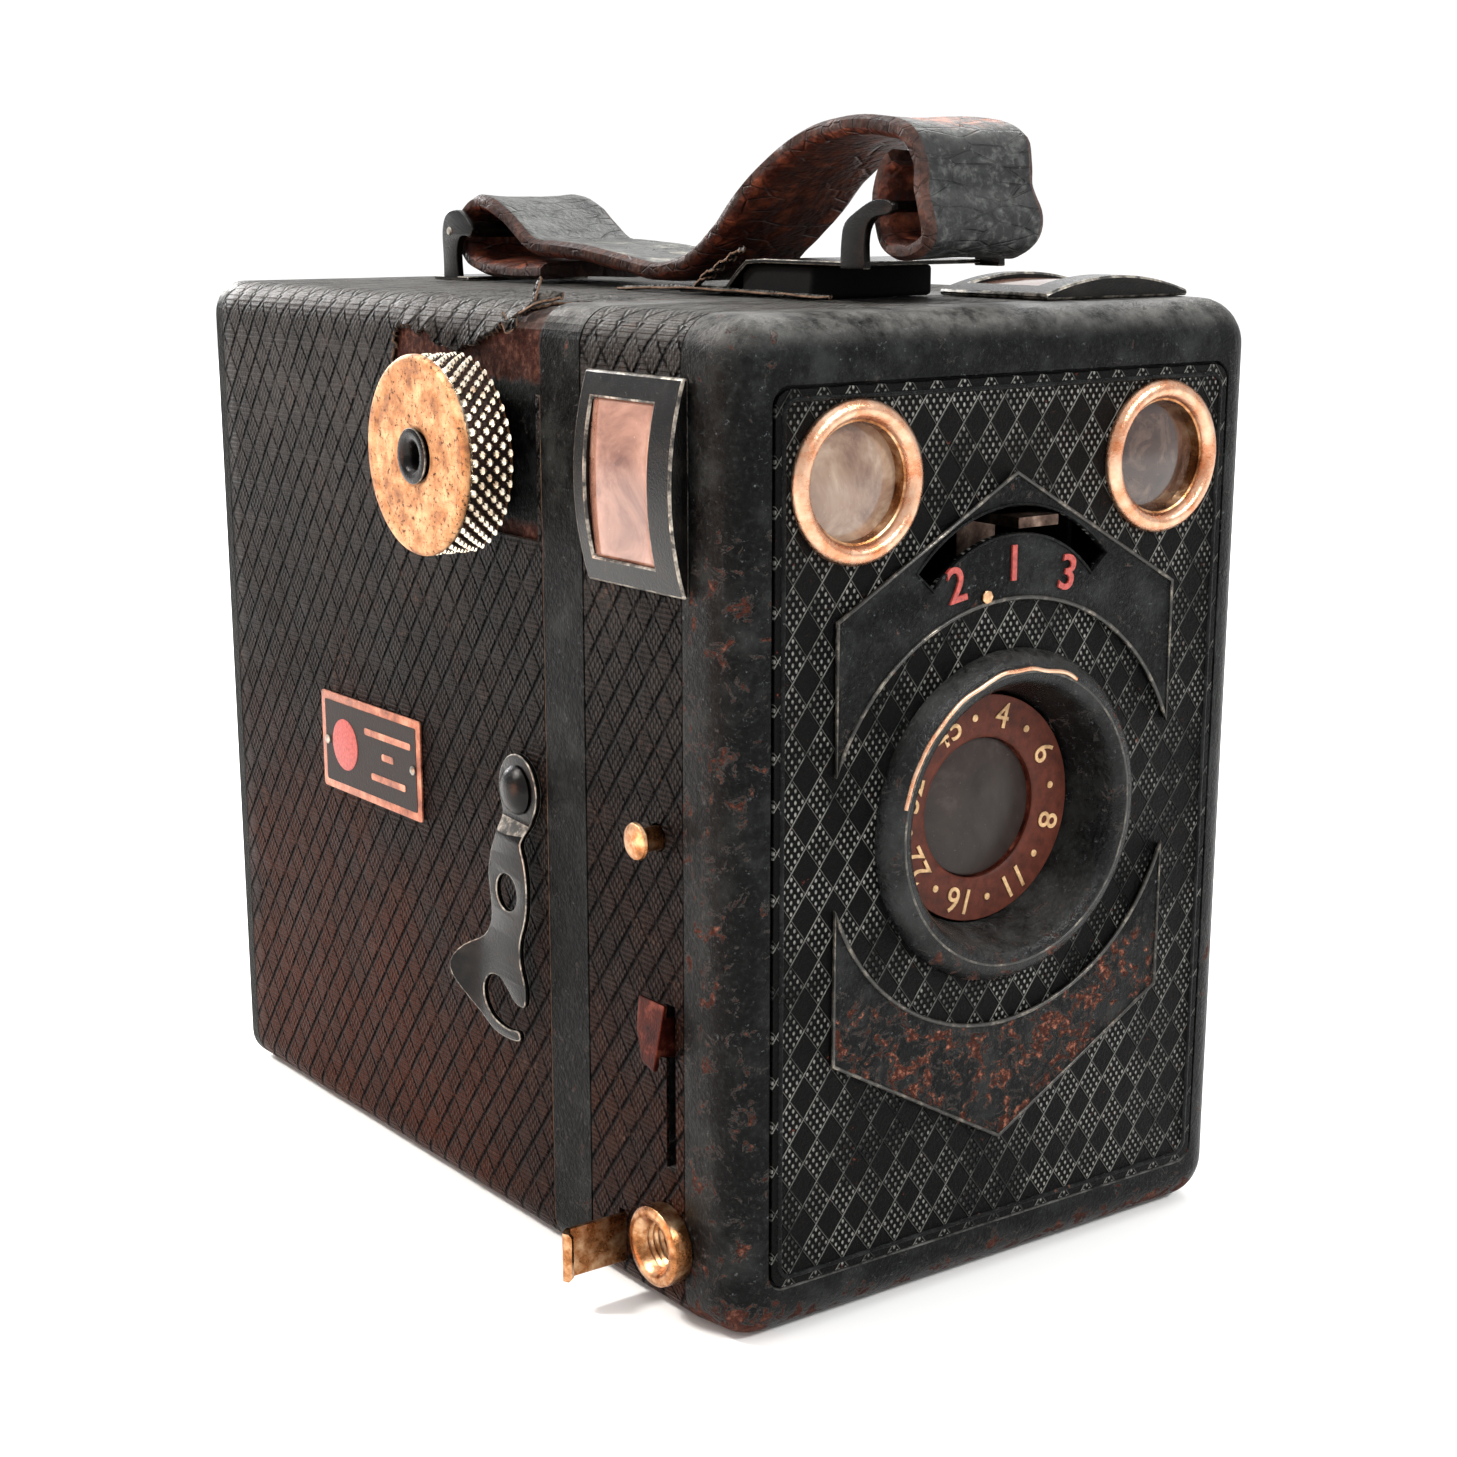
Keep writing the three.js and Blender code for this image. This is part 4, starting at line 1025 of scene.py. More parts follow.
def rear_case():
    dress("rear_case_shell", CASE_ENAMEL, 0.3)
    wrap_skin()
    dress("leatherette_back", LEATHERETTE, 0.08)
    flake("torn_flake_upright", [(-37.3, -20.5, 114), (-37.2, -20.9, 115.6), (-36.9, -21.6, 117.2)],
          (0.6, 1.5, 0.3), 0.3)
    flake("torn_flake_curled", [(-38.3, -19.4, 113.4), (-37.6, -22.4, 114.8), (-36.4, -25.2, 115.2)],
          (1.4, 0.4, 1.2), 0.5)
    flake("torn_flake_hanging", [(-39.2, -16.8, 112.6), (-39.6, -18.4, 111.6), (-39.5, -20.4, 112.2)],
          (0.5, 0.6, 1.6), 0.4)

    low, high, centre = extent("red_window_eyelet")
    outer, face = (high.x - low.x) / 2, high.y
    rim = [(outer - 2.4, face - 2), (outer - 1.4, face - 2), (outer - 1.4, face - 0.42), (outer, face - 0.4),
           (outer - 0.1, face - 0.15), (outer - 0.6, face), (outer - 1.6, face - 0.05),
           (outer - 2.4, face - 0.5)]
    piece("red_window_rim", lathe("y", centre, rim), [BRIGHT_STEEL], "rear_case",
          ["red_window_eyelet"], bevel=0.08)
    dress("red_window", RUBY)
    dress("winder_bush", DARK_STEEL, 0.15)

    low, high, centre = extent("nameplate")
    front = centre.x
    back, wide, tall = high.x, high.y - low.y, high.z - low.z
    outline = [(centre.y + a, centre.z + b) for a, b in rounded_box(wide / 2, -tall / 2, tall / 2, 0.5, 4)]
    rim = 1.1
    inner = rounded_box(wide / 2 - rim, rim - tall / 2, tall / 2 - rim, 0.3, 4)
    inner = [(centre.y + a, centre.z + b) for a, b in inner]
    plate_metal = metal("nameplate_metal", (0.3, "5c2f20"), (0.5, "9a5e46"), (0.75, "cf9a7e"), roughness=0.4,
                        polish=0.5)
    field = plain_black("nameplate_field", "100c0b", "241b18", 0.5)
    base = moved(plate([outline], 0.3, 0.06), facing_side(back - 0.15))
    piece("nameplate_base", base, [plate_metal], "rear_case", ["nameplate"])
    piece("nameplate_field", moved(plate([inner], 0.16), facing_side(back - 0.28)), [field], "rear_case")
    disc = plate([circle((high.y - 6.6, centre.z), 3.5, 40)], 0.14, 0.04)
    piece("nameplate_disc", moved(disc, facing_side(back - 0.36)), [PRINT_RED], "rear_case")
    bars = [plate([rounded_box(half, b - 0.45, b + 0.45, 0.3, 3)], 0.12) for b, half in
            ((centre.z + 2.9, 6.2), (centre.z + 0.2, 1.6), (centre.z - 2.9, 4.6))]
    bars = [moved(bar, Matrix.Translation((low.y + 8.6, 0, 0))) for bar in bars]
    piece("nameplate_bars", moved(joined(*bars), facing_side(back - 0.35)), [plate_metal], "rear_case")
    for name, y in (("front", low.y + 1.8), ("rear", high.y - 1.8)):
        dome = [(0, front - 0.42), (0.35, front - 0.38), (0.62, front - 0.2), (0.62, back - 0.1),
                (0, back - 0.1)]
        piece(f"nameplate_pin_{name}", lathe("x", (0, y, centre.z), dome, 20), [BRIGHT_STEEL], "rear_case")

    for side, sign in (("left", 1), ("right", -1)):
        _, _, spot = extent(f"latch_rivet_{side}")
        head = [(0, -41.6), (0.9, -41.55), (1.9, -41.25), (2.7, -40.7), (3.05, -40.15), (1.6, -40.1),
                (1.6, -37.3), (2.6, -37.3), (2.6, -36.6), (0, -36.6)]
        shape = lathe("x", spot, [(r, s * sign) for r, s in head], 40)
        piece(f"latch_rivet_head_{side}", shape, [DARK_STEEL], "rear_case",
              [f"latch_rivet_{side}"], bevel=0.05)


STRAP_LINE = [
    (24, 116.4), (31, 116.3), (38, 116.5), (42.8, 117.6), (45, 120), (44.6, 122.8), (42, 124.8),
    (38.5, 124.9), (34.5, 123.6), (30.5, 121.3), (26.5, 119.4), (20, 119.1), (12.6, 118.6),
    (4.5, 117.6), (-2.7, 116.9), (-9, 118.1), (-13, 120.2), (-17.2, 123), (-22.5, 127.3),
    (-27.5, 130.4), (-33, 132.6), (-40.3, 133.9), (-47, 133.7), (-51.3, 132.6), (-52.9, 130),
    (-53.2, 127), (-54.6, 124), (-54.3, 121.8), (-51.6, 120.6), (-48.6, 121), (-46.9, 123.2),
    (-46.6, 126.5), (-47.4, 129), (-49, 130.4),
]


def strap():
    """The carrying strap, looped round the bar at each end, as a sheet of leather with round edges."""
    _, high, _ = extent("strap")
    half = high.x
    line = smooth_line([(0, y, z) for y, z in STRAP_LINE], 5)
    thick, across = 2.15, 18
    bm = bmesh.new()
    rings = []
    for i, spot in enumerate(line):
        ahead = line[min(i + 1, len(line) - 1)] - line[max(i - 1, 0)]
        up = Vector((1, 0, 0)).cross(ahead).normalized()
        ring = []
        waist = half - 0.25 + wandering((i / 7, 0, 3), 1.0, 0.5)
        for face in (1, -1):
            for k in range(across + 1):
                t = (k / across * 2 - 1) * face
                edge = min(1.0, (1 - abs(t)) * across / 2)
                bulge = thick / 2 * (0.45 + 0.55 * math.sqrt(max(edge, 0)))
                cup = -0.35 * t * t
                ripple = wandering((t * 3, i / 3.2, face), 1.0, 0.14)
                ring.append(spot + Vector((t * waist, 0, 0)) + up * (face * bulge + cup + ripple + 0.15))
        rings.append(ring)
    loft(rings, bm, ends=True)
    bm.normal_update()
    bm.faces.ensure_lookup_table()
    per_ring = 2 * (across + 1)
    cut_edge = (across - 1, across, across + 1, 2 * across, 2 * across + 1)
    for index, face in enumerate(bm.faces):
        place = index % per_ring
        if place in cut_edge or index >= per_ring * (len(line) - 1):
            face.material_index = 2
        elif place > across:
            face.material_index = 1
    piece("strap_leather", bm, [STRAP_UNDER, STRAP_TOP, STRAP_EDGE], "rear_case", ["strap"],
          sharp=60)


def bar(points, width, thickness):
    """A bent strip of plate across x from a side outline of (y, z) points."""
    line = [Vector((0, *p)) for p in points]
    rings = []
    for i, spot in enumerate(line):
        ahead = (line[min(i + 1, len(line) - 1)] - line[max(i - 1, 0)]).normalized()
        up = Vector((1, 0, 0)).cross(ahead) * thickness / 2
        rings.append([spot + up + Vector((s * width, 0, 0)) for s in (-1, 1)]
                     + [spot - up + Vector((s * width, 0, 0)) for s in (1, -1)])
    return loft(rings, ends=True)


def brackets():
    _, high, _ = extent("strap_loop_rear")
    reach = high.x
    cheek = smooth_line([(43.2, 114.9), (43.4, 118.6), (42.2, 120.6), (39.6, 120.7), (39.3, 121.9),
                         (40.8, 123.2),
                         (43.4, 124.2), (46.1, 123.6), (47.3, 121.4), (47.2, 117.6), (47.2, 114.9)], 5)
    cheek = [(p.x, p.y) for p in cheek]
    sides = [moved(plate([cheek], 1.0, 0.12), facing_side(s * (reach - 0.5))) for s in (-1, 1)]
    rod = lathe("x", (0, 40.9, 121.6),
                [(0, 0.5 - reach), (1.1, 0.5 - reach), (1.1, reach - 0.5), (0, reach - 0.5)], 24)
    foot = block((-reach, 40.6, 114.62), (reach, 50, 115.2))
    piece("strap_loop_rear_metal", joined(foot, *sides, rod), [DARK_STEEL, WORN_EDGE], "rear_case",
          ["strap_loop_rear"], bevel=0.16, worn=True)
    for name, x in (("left", -reach), ("right", reach)):
        shape = lathe("x", (0, 45.3, 121.3),
                      [(0, x - 0.28), (0.45, x - 0.2), (0.6, x), (0.45, x + 0.2), (0, x + 0.28)], 20)
        piece(f"strap_loop_pin_{name}", shape, [BRIGHT_STEEL], "rear_case")

    _, high, _ = extent("strap_bracket_front")
    reach = high.x
    tongue = bar([(-10.8, 115), (-16, 115.1), (-20.5, 115.6), (-22.6, 117.4), (-24.5, 118.7), (-28, 118.9),
                  (-36, 118.9), (-44, 118.9)], reach, 0.5)
    core = block((-reach + 0.9, -36, 114.75), (reach - 0.9, -22.4, 118.4))
    horn = smooth_line([(-42.9, 118.4), (-43, 121.2), (-43.6, 123.4), (-46, 124.9), (-48.6, 125.9),
                        (-51.4, 125.8),
                        (-51.3, 124.5), (-48.4, 123.9), (-47.1, 122), (-47.2, 118.4)], 4)
    horn = [(p.x, p.y) for p in horn]
    sides = [moved(plate([horn], 1.0, 0.12), facing_side(s * reach)) for s in (-1, 1)]
    rod = lathe("x", (0, -49.9, 125.2), [(0, -reach), (0.65, -reach), (0.65, reach), (0, reach)], 20)
    piece("strap_bracket_front_metal", joined(tongue, *sides, rod), [DARK_STEEL, WORN_EDGE], "rear_case",
          ["strap_bracket_front"], bevel=0.12, worn=True)
    # A block in the interior's matte black fills the gap under the tongue: partly a solid base for the
    # bracket, partly painted shade.
    piece("strap_bracket_front_block", core, [INNER_BLACK], "rear_case", bevel=0.5)
    flake("bracket_flake_long", [(-10.4, 2, 114.8), (-10.6, -12, 115.3), (-10.3, -26, 115.2),
                                 (-10.4, -41, 115)],
          (1.2, 0, 0.2), 0.25)
    for i, (y, z, reach_y) in enumerate(((-17.6, 116.4, 3.2), (-19.4, 117.4, 3.8), (-21.8, 118.6, 3.4),
                                         (-23.6, 119.6, 2.6))):
        flake(f"bracket_flake_{i}", [(-9.9, y + reach_y, z - 0.8), (-10.1, y + reach_y / 2, z),
                                     (-9.8, y, z + 0.3)],
              (1.8, 0.5, 0.6), 0.4)


# ---- winder ----


def knurled_knob():
    low, high, centre = extent("winding_knob")
    radius, inner, face = (high.z - low.z) / 2, high.x, low.x
    around, rows, depth = 40, 3, 0.75
    steps, stages = around * 8, rows * 8
    bm = bmesh.new()
    rings = []
    start, end = inner - 0.45, face + 0.75

    def ring(spot, size):
        return [
            bm.verts.new((spot, centre.y + size * math.cos(TAU * i / steps),
                          centre.z + size * math.sin(TAU * i / steps)))
            for i in range(steps)
        ]

    rings.append(ring(inner, 2.9))
    rings.append(ring(inner, radius - 0.9))
    for j in range(stages + 1):
        share = j / stages
        spot = start + (end - start) * share
        row = []
        for i in range(steps):
            turn = i / steps * around  # in diamonds
            lift = 1.0
            for sign in (1, -1):
                wave = (turn + sign * share * rows) % 1
                lift = min(lift, 1 - abs(2 * wave - 1))
            fade = min(1, (1 - share) * stages / 3)
            size = radius - depth * fade * (1 - min(1, lift * 1.28))
            angle = TAU * i / steps
            row.append(bm.verts.new((spot, centre.y + size * math.cos(angle),
                                     centre.z + size * math.sin(angle))))
        rings.append(row)
    for size, spot in ((radius - 0.02, face + 0.5), (radius - 0.2, face + 0.2), (radius - 0.6, face),
                       (radius - 1.9, face + 0.02),
                       (radius - 2.3, face + 0.14), (radius - 2.7, face + 0.03), (8, face + 0.02),
                       (5, face), (3.75, face), (3.35, face + 0.2), (2.9, face + 0.5)):
        rings.append(ring(spot, size))
    for one, following in zip(rings, rings[1:]):
        bridge(bm, one, following)
    bridge(bm, rings[-1], rings[0])
    # Faces low in the knurl take the dark copy, painted shade, and those on the diamonds take the near-white
    # copy, a painted highlight.
    for face_made in bm.faces:
        middle = face_made.calc_center_median()
        out = math.hypot(middle.y - centre.y, middle.z - centre.z)
        if face + 0.8 < middle.x < inner - 0.5 and radius - depth * 1.02 < out < radius - depth * 0.64:
            face_made.material_index = 1
        elif face + 0.8 < middle.x < inner - 0.5 and out > radius - depth:
            face_made.material_index = 2
    piece("winding_knob_knurled", bm, [KNOB_PLATING, KNURL_HOLLOW_SHADE, KNURL_TIP_HIGHLIGHT], "knob",
          ["winding_knob"], sharp=50)

    _, _, spot = extent("knob_rivet")
    back = face + 1.4
    profile = [(1.35, back), (2.7, back), (2.7, face - 0.1), (3.25, face - 0.15), (3.3, face - 0.4),
               (2.9, face - 0.58),
               (2.2, face - 0.5), (1.75, face - 0.2), (1.45, face + 0.5)]
    piece("knob_rivet_eyelet", lathe("x", spot, profile, 48), [DARK_STEEL, WORN_EDGE], "knob",
          ["knob_rivet"], bevel=0.1, worn=True)
    dress("winding_shaft", DARK_STEEL, 0.1)
    dress("winder_hub", BRASS, 0.1)


# ---- latches ----


def latches():
    tilt = Matrix.Rotation(math.radians(4), 4, "X")
    for side, sign in (("left", -1), ("right", 1)):
        low, high, _ = extent(f"latch_{side}")
        _, _, pivot = extent(f"latch_rivet_{side}")
        inner = abs(high.x if sign < 0 else low.x)
        edge = [(3.2, -3.4), (4.15, -1.2), (4.1, 1.2), (2.6, 3.5), (0, 4.4), (-2.6, 3.5), (-4.1, 1.2),
                (-4.15, -1.2),
                (-3.2, -3.4), (-2.8, -5.9), (-3.9, -8.4), (-4.5, -11.6), (-4.3, -15), (-3.2, -18.4),
                (-3.4, -21),
                (-4.5, -23.6), (-4.6, -26), (-3.4, -26.5), (-2, -26.2), (-0.6, -25.2), (1.4, -24.2),
                (3.6, -24.6),
                (4.9, -26.2), (4.7, -28.2), (3.2, -29.7), (1, -30.3), (-1.2, -30.3), (-3.2, -29.9),
                (-3.5, -31),
                (-0.8, -31.6), (2.6, -31.5), (6.2, -29.8), (8.6, -26.8), (9.2, -24.2), (7.9, -21.8),
                (5, -19.8),
                (3.5, -17.4), (3.6, -14.6), (4.3, -11.6), (3.8, -8.4), (2.8, -5.9)]
        outline = [(p.x, p.y) for p in smooth_line([(a, b, 0) for a, b in edge], 3, closed=True)]
        holes = [circle((0, 0), 1.9, 24), circle((0, -12.8), 2.35, 32)]
        bm = plate([outline, *holes], 0.8, 0.14)
        cuts = [(1, y) for y in (-3.2, -3.8, -4.4, -5, -5.6, -6.2)]
        cuts += [(0, 3.6 + 0.5 * i) for i in range(11)] + [(1, -31 + 0.8 * i) for i in range(15)]
        for axis, value in cuts:
            normal = [0, 0, 0]
            normal[axis] = 1
            spot = [0, 0, 0]
            spot[axis] = value
            bmesh.ops.bisect_plane(bm, geom=bm.verts[:] + bm.edges[:] + bm.faces[:], plane_co=spot,
                                   plane_no=normal)
        bm.normal_update()
        for side_face in bm.faces:
            middle = side_face.calc_center_median()
            at_bend = -5.4 < middle.y < -3.8 and abs(middle.x) < 2.6
            if 0.25 < abs(side_face.normal.z) < 0.97 or at_bend:
                side_face.material_index = 1
        bend_from, bend_length, bend_height = -3.2, 3, 1.3
        thumb_from, thumb_below, thumb_curl = 4.6, -20, 0.12
        for v in bm.verts:
            step = min(1, max(0, (bend_from - v.co.y) / bend_length))
            v.co.z += bend_height * step * step * (3 - 2 * step)
            flare = max(0, v.co.x - thumb_from)
            if v.co.y < thumb_below:
                v.co.z += thumb_curl * flare * flare
        place = Matrix.Translation((0, pivot.y, pivot.z)) @ tilt @ facing_side(sign * (inner + 0.4), sign)
        piece(f"latch_arm_{side}", moved(bm, place), [DARK_STEEL, WORN_EDGE], f"latch_{side[0]}",
              [f"latch_{side}"], sharp=30)

        _, _, peg = extent(f"latch_peg_{side}")
        stud = [(0, -42.5), (1.2, -42.45), (2.05, -42.1), (2.2, -41.7), (1.9, -41.4), (1.4, -41.3),
                (1.4, -37),
                (2.4, -37), (2.4, -36.4), (0, -36.4)]
        shape = lathe("x", peg, [(r, -s * sign) for r, s in stud], 32)
        piece(f"latch_peg_stud_{side}", shape, [BRASS], "front_section", [f"latch_peg_{side}"],
              bevel=0.06)


# ---- front section ----


def front_cover():
    """The pressed front: side walls, a rounded edge, and the seat of the front panel."""
    radius = 5.0
    shoulder = front_low.y + radius
    stages = [(0.4, -32.8, 4.1), (0.4, -51.9, 4.1), (0.0, -52.05, 4.5), (0.0, -54, 5.0), (0.0, shoulder, 5.6)]
    for step in range(1, 9):
        turn = math.radians(90 * step / 8)
        inset = radius * (1 - math.cos(turn))
        stages.append((inset, shoulder - radius * math.sin(turn), max(1.5, 5.6 - inset)))
    rings = []

    def ring(half, low, high, corner, y):
        flat = rounded_box(half, low, high, corner, 8)
        dense = []
        for i, point in enumerate(flat):
            after = flat[(i + 1) % len(flat)]
            dense.append(point)
            if (i + 1) % 9 == 0:
                for t in range(1, 12):
                    dense.append(tuple(point[k] + (after[k] - point[k]) * t / 12 for k in (0, 1)))
        return [Vector((x, y + wandering((x, y, z), 8, 0.05), z)) for x, z in dense]

    for inset, y, corner in stages:
        rings.append(ring(HALF - inset, inset, HEIGHT - inset, corner, y))
    edge = panel_high.x + 0.25
    low, high = panel_low.z - 0.25, panel_high.z + 0.25
    rings.append(ring(edge + 0.15, low - 0.15, high + 0.15, 2.2, front_low.y + 0.02))
    rings.append(ring(edge, low, high, 2.1, front_low.y + 0.2))
    rings.append(ring(edge, low, high, 2.1, panel_high.y + 0.12))
    rings.append(ring(edge - 3, low + 3, high - 3, 1.6, panel_high.y + 0.12))
    rings.append(ring(edge - 3, low + 3, high - 3, 1.6, panel_high.y + 1.1))
    for inset, y in ((6.4, -59.5), (3.0, -57.6), (1.8, -55), (1.8, -32.8)):
        rings.append(ring(HALF - inset, inset, HEIGHT - inset, max(1.5, 4.5 - inset), y))
    shell = loft(rings)

    tab_low, tab_high, _ = extent("time_tab")
    _, _, bush = extent("tripod_bush_side")
    _, _, foot = extent("tripod_bush_bottom")
    _, _, peg = extent("latch_peg_left")
    holes = block((-45, -50.3, 18.7), (-30, -48.5, 38.4))
    block((-45, tab_high.y - 1.1, tab_low.z - 0.3), (-30, tab_high.y + 0.3, tab_high.z + 0.3), holes)
    lathe("x", bush, [(0, -45), (4.3, -45), (4.3, -30), (0, -30)], 40, bm=holes)
    lathe("z", foot, [(0, -5), (5.8, -5), (5.8, 5), (0, 5)], 40, bm=holes)
    for x in (-40, 40):
        lathe("x", peg, [(0, x - 8), (1.7, x - 8), (1.7, x + 8), (0, x + 8)], 24, bm=holes)
    block((-45, -51.4, 86.9), (-30, -37.2, 106.1), holes)
    block((13.2, -51.4, 105), (32.4, -37.2, 120), holes)
    piece("front_cover", carved(shell, holes), [FRONT_ENAMEL], "front_section",
          ["front_shell"],
          sharp=42)
    dress("leatherette_front", LEATHERETTE)


def sector(centre, inner, outer, half_angle, steps=24):
    half_turn = math.radians(half_angle)
    start = math.pi / 2 - half_turn
    out = circle(centre, outer, steps, start, 2 * half_turn)
    back = circle(centre, inner, steps, start + 2 * half_turn, -2 * half_turn)
    return out + back


def front_panel():
    face, back = panel_low.y + 0.5, panel_high.y
    lens_z = lens_centre.z
    slot = sector(SLOT_CENTRE, SLOT_INNER, SLOT_OUTER, SLOT_HALF_ANGLE)
    finders = []
    for side in ("left", "right"):
        _, _, spot = extent(f"finder_lens_{side}")
        finders.append(circle((spot.x, spot.z), 7.5, 48))
    border = rounded_box(panel_high.x, panel_low.z, panel_high.z, PANEL_CORNER, 8)
    sheet = plate([border, circle((0, lens_z), 16.4, 72), slot, *finders], back - face, 0.12)
    piece("front_panel_plate", moved(sheet, facing_front((face + back) / 2)), [PANEL], "front_section",
          ["front_panel"])

    frame_line = rounded_box(panel_high.x - 1.1, panel_low.z + 1.1, panel_high.z - 1.1, 1.6, 8)
    piece("front_panel_border", wire([(x, face + 0.12, z) for x, z in frame_line], 0.34, True),
          [HEXAGON_ENAMEL],
          "front_section")
    half = 25.4
    shapes = {
        "upper": (55, 27.4, 1, 82.1, 96.5, [slot]),
        "lower": (59, 27.0, -1, 31.8, 17.6, []),
    }
    for name, (arc_z, arc_radius, up, shoulder, tip, holes) in shapes.items():
        reach = math.acos(half / arc_radius)
        arc = circle((0, arc_z), arc_radius, 40, up * reach, up * (math.pi - 2 * reach))
        outline = [(-half, shoulder), (0, tip), (half, shoulder), *arc]
        pad = moved(plate([outline, *holes], 0.42, 0.12), facing_front(face - 0.17))
        piece(f"front_panel_hexagon_{name}", pad, [HEXAGON_ENAMEL], "front_section")
        bead = [(x, face - 0.36, z) for x, z in outline]
        piece(f"front_panel_ridge_{name}", wire(bead, 0.27, True), [RUBBED_RIDGE], "front_section")
    slot_rim = [(x, face - 0.38, z) for x, z in sector(SLOT_CENTRE, SLOT_INNER - 0.15, SLOT_OUTER + 0.15, 49)]
    piece("aperture_slot_rim", wire(slot_rim, 0.2, True), [HEXAGON_ENAMEL], "front_section")

    for text, x, z, tilt in (("2", -8.7, 84.5, 10), ("1", -0.2, 86.2, 0), ("3", 8.1, 84.4, -12)):
        shape = characters(text, 5.7, 0.16)
        place = facing_front(face - 0.42) @ Matrix.Translation((x, z, 0))
        place = place @ Matrix.Rotation(math.radians(tilt), 4, "Z")
        piece(f"aperture_number_{text}", moved(shape, place), [PRINT_RED], "front_section")
    pip = [(x, z) for x, z in circle((-4.1, 82.9), 0.8, 7)]
    piece("aperture_pip", moved(plate([pip], 0.3, 0.1), facing_front(face - 0.5)), [BRASS], "front_section")


def lens():
    low, _, centre = extent("lens_barrel")
    front = low.y
    seat = front + 2.55
    profile = [(19.6, seat), (19.55, seat - 0.5), (19.2, front + 1.4), (18.7, front + 0.7),
               (18.0, front + 0.22),
               (17.2, front), (16.5, front + 0.12), (15.95, front + 0.55), (15.6, front + 1.1),
               (15.2, front + 2.4),
               (14.8, front + 3.6), (14.2, front + 5.4), (13.8, front + 6.9), (13.8, front + 7.5),
               (14.8, front + 7.5),
               (15.6, front + 3.3), (15.9, seat)]
    piece("lens_barrel_rolled", lathe("y", centre, profile, 112), [BARREL_ENAMEL], "front_section",
          ["lens_barrel"])
    # A rubbed grey ring along the crest: worn paint, and a painted highlight line round the rim.
    crest_radius = 17.2
    crest = [(centre.x + x, front + 0.16, centre.z + z) for x, z in circle((0, 0), crest_radius, 112)]
    piece("lens_barrel_crest_wear_and_highlight", wire(crest, 0.2, True), [RUBBED_RIDGE], "front_section")
    arc = []
    for i in range(49):
        t = math.radians(62 + 106 * i / 48)
        radius = 17.5 + wandering((i / 5, 0, 0), 1.0, 0.35)
        arc.append((centre.x + radius * math.cos(t), front + 0.2, centre.z + radius * math.sin(t)))
    piece("lens_barrel_bare_arc", wire(arc, 0.3), [COPPER], "front_section")

    low, high, _ = extent("lens_ring")
    outer, face, back = high.x, low.y, high.y
    ring = [(outer, face), (outer - 0.2, face + 0.02), (9.3, face + 0.16), (8.7, face + 0.2),
            (8.4, face + 0.45),
            (8.4, back), (outer, back)]
    piece("lens_ring_turned", lathe("y", centre, ring, 96), [RING_ENAMEL], "front_section",
          ["lens_ring"], bevel=0.05)
    marks = []
    labels = ["4", "6", "8", "11", "16", "22", "32", "45"]
    for i, label in enumerate(labels):
        turn = -TAU * (i + 0.35) / len(labels)
        shape = characters(label, 4.3, 0.05)
        spin = Matrix.Rotation(turn, 4, "Z") @ Matrix.Translation((0, NUMBER_CIRCLE, 0))
        marks.append(moved(shape, facing_front(face + 0.02) @ Matrix.Translation((0, centre.z, 0)) @ spin))
        between = -TAU * (i + 0.85) / len(labels)
        dot = plate([circle((0, NUMBER_CIRCLE), 0.42, 16)], 0.12)
        marks.append(moved(dot, facing_front(face + 0.02) @ Matrix.Translation((0, centre.z, 0))
                           @ Matrix.Rotation(between, 4, "Z")))
    piece("lens_ring_numbers", joined(*marks), [CREAM], "front_section")

    low, high, _ = extent("lens")
    front, back = low.y, high.y
    clear_radius, sag = 8.35, 1.0
    dome = [(0, front)]
    for i in range(1, 13):
        r = clear_radius * i / 12
        dome.append((r, front + sag * (r / clear_radius) ** 2))
    dome += [(9, front + 1.15), (9, back), (0, back)]
    piece("lens_glass_front", lathe("y", centre, dome, 96), [LENS_GLASS], "front_section",
          ["lens"])
    retainer = [(9.3, front + 0.35), (8.5, front + 0.5), (8.2, front + 0.95), (8.9, front + 1.1),
                (9.3, front + 1.1)]
    piece("lens_retaining_ring", lathe("y", centre, retainer, 80), [RED_COPPER], "front_section")
    dress("lens_cell", INNER_BLACK, 0.1)
    dress("lens_board", INNER_BLACK, 0.1)


def finders():
    for side, glass in (("left", FINDER_GLASS_LEFT), ("right", FINDER_GLASS_RIGHT)):
        low, high, centre = extent(f"finder_bezel_{side}")
        radius, front, back = (high.x - low.x) / 2, low.y, high.y
        seat = front + 1.25
        rim = [(radius, seat), (radius, seat - 0.25), (radius - 0.2, front + 0.5),
               (radius - 0.6, front + 0.18),
               (radius - 1.1, front), (radius - 1.6, front + 0.1), (radius - 2.0, front + 0.5),
               (radius - 2.25, front + 1.1),
               (radius - 2.3, back), (7.2, back), (7.2, seat)]
        piece(f"finder_bezel_rolled_{side}", lathe("y", centre, rim, 96), [COPPER], "front_section",
              [f"finder_bezel_{side}"])
        groove = [(6.75, front + 1.0), (6.45, front + 1.15), (6.35, back + 0.1), (6.75, back + 0.1)]
        piece(f"finder_bezel_lip_{side}", lathe("y", centre, groove, 72), [BRASS], "front_section")
        low, high, spot = extent(f"finder_lens_{side}")
        front, back = low.y, high.y
        dome = [(0, front)] + [(6.3 * i / 10, front + 0.85 * (i / 10) ** 2) for i in range(1, 11)]
        dome += [(7, front + 0.95), (7, back), (0, back)]
        piece(f"finder_glass_{side}", lathe("y", spot, dome, 72), [glass], "front_section",
              [f"finder_lens_{side}"])
    windows()
    for node in ("finder_box_left", "finder_box_right"):
        dress(node, INNER_BLACK, 0.05)
    for node in ("finder_mirror_left", "finder_mirror_right"):
        dress(node, MIRROR)


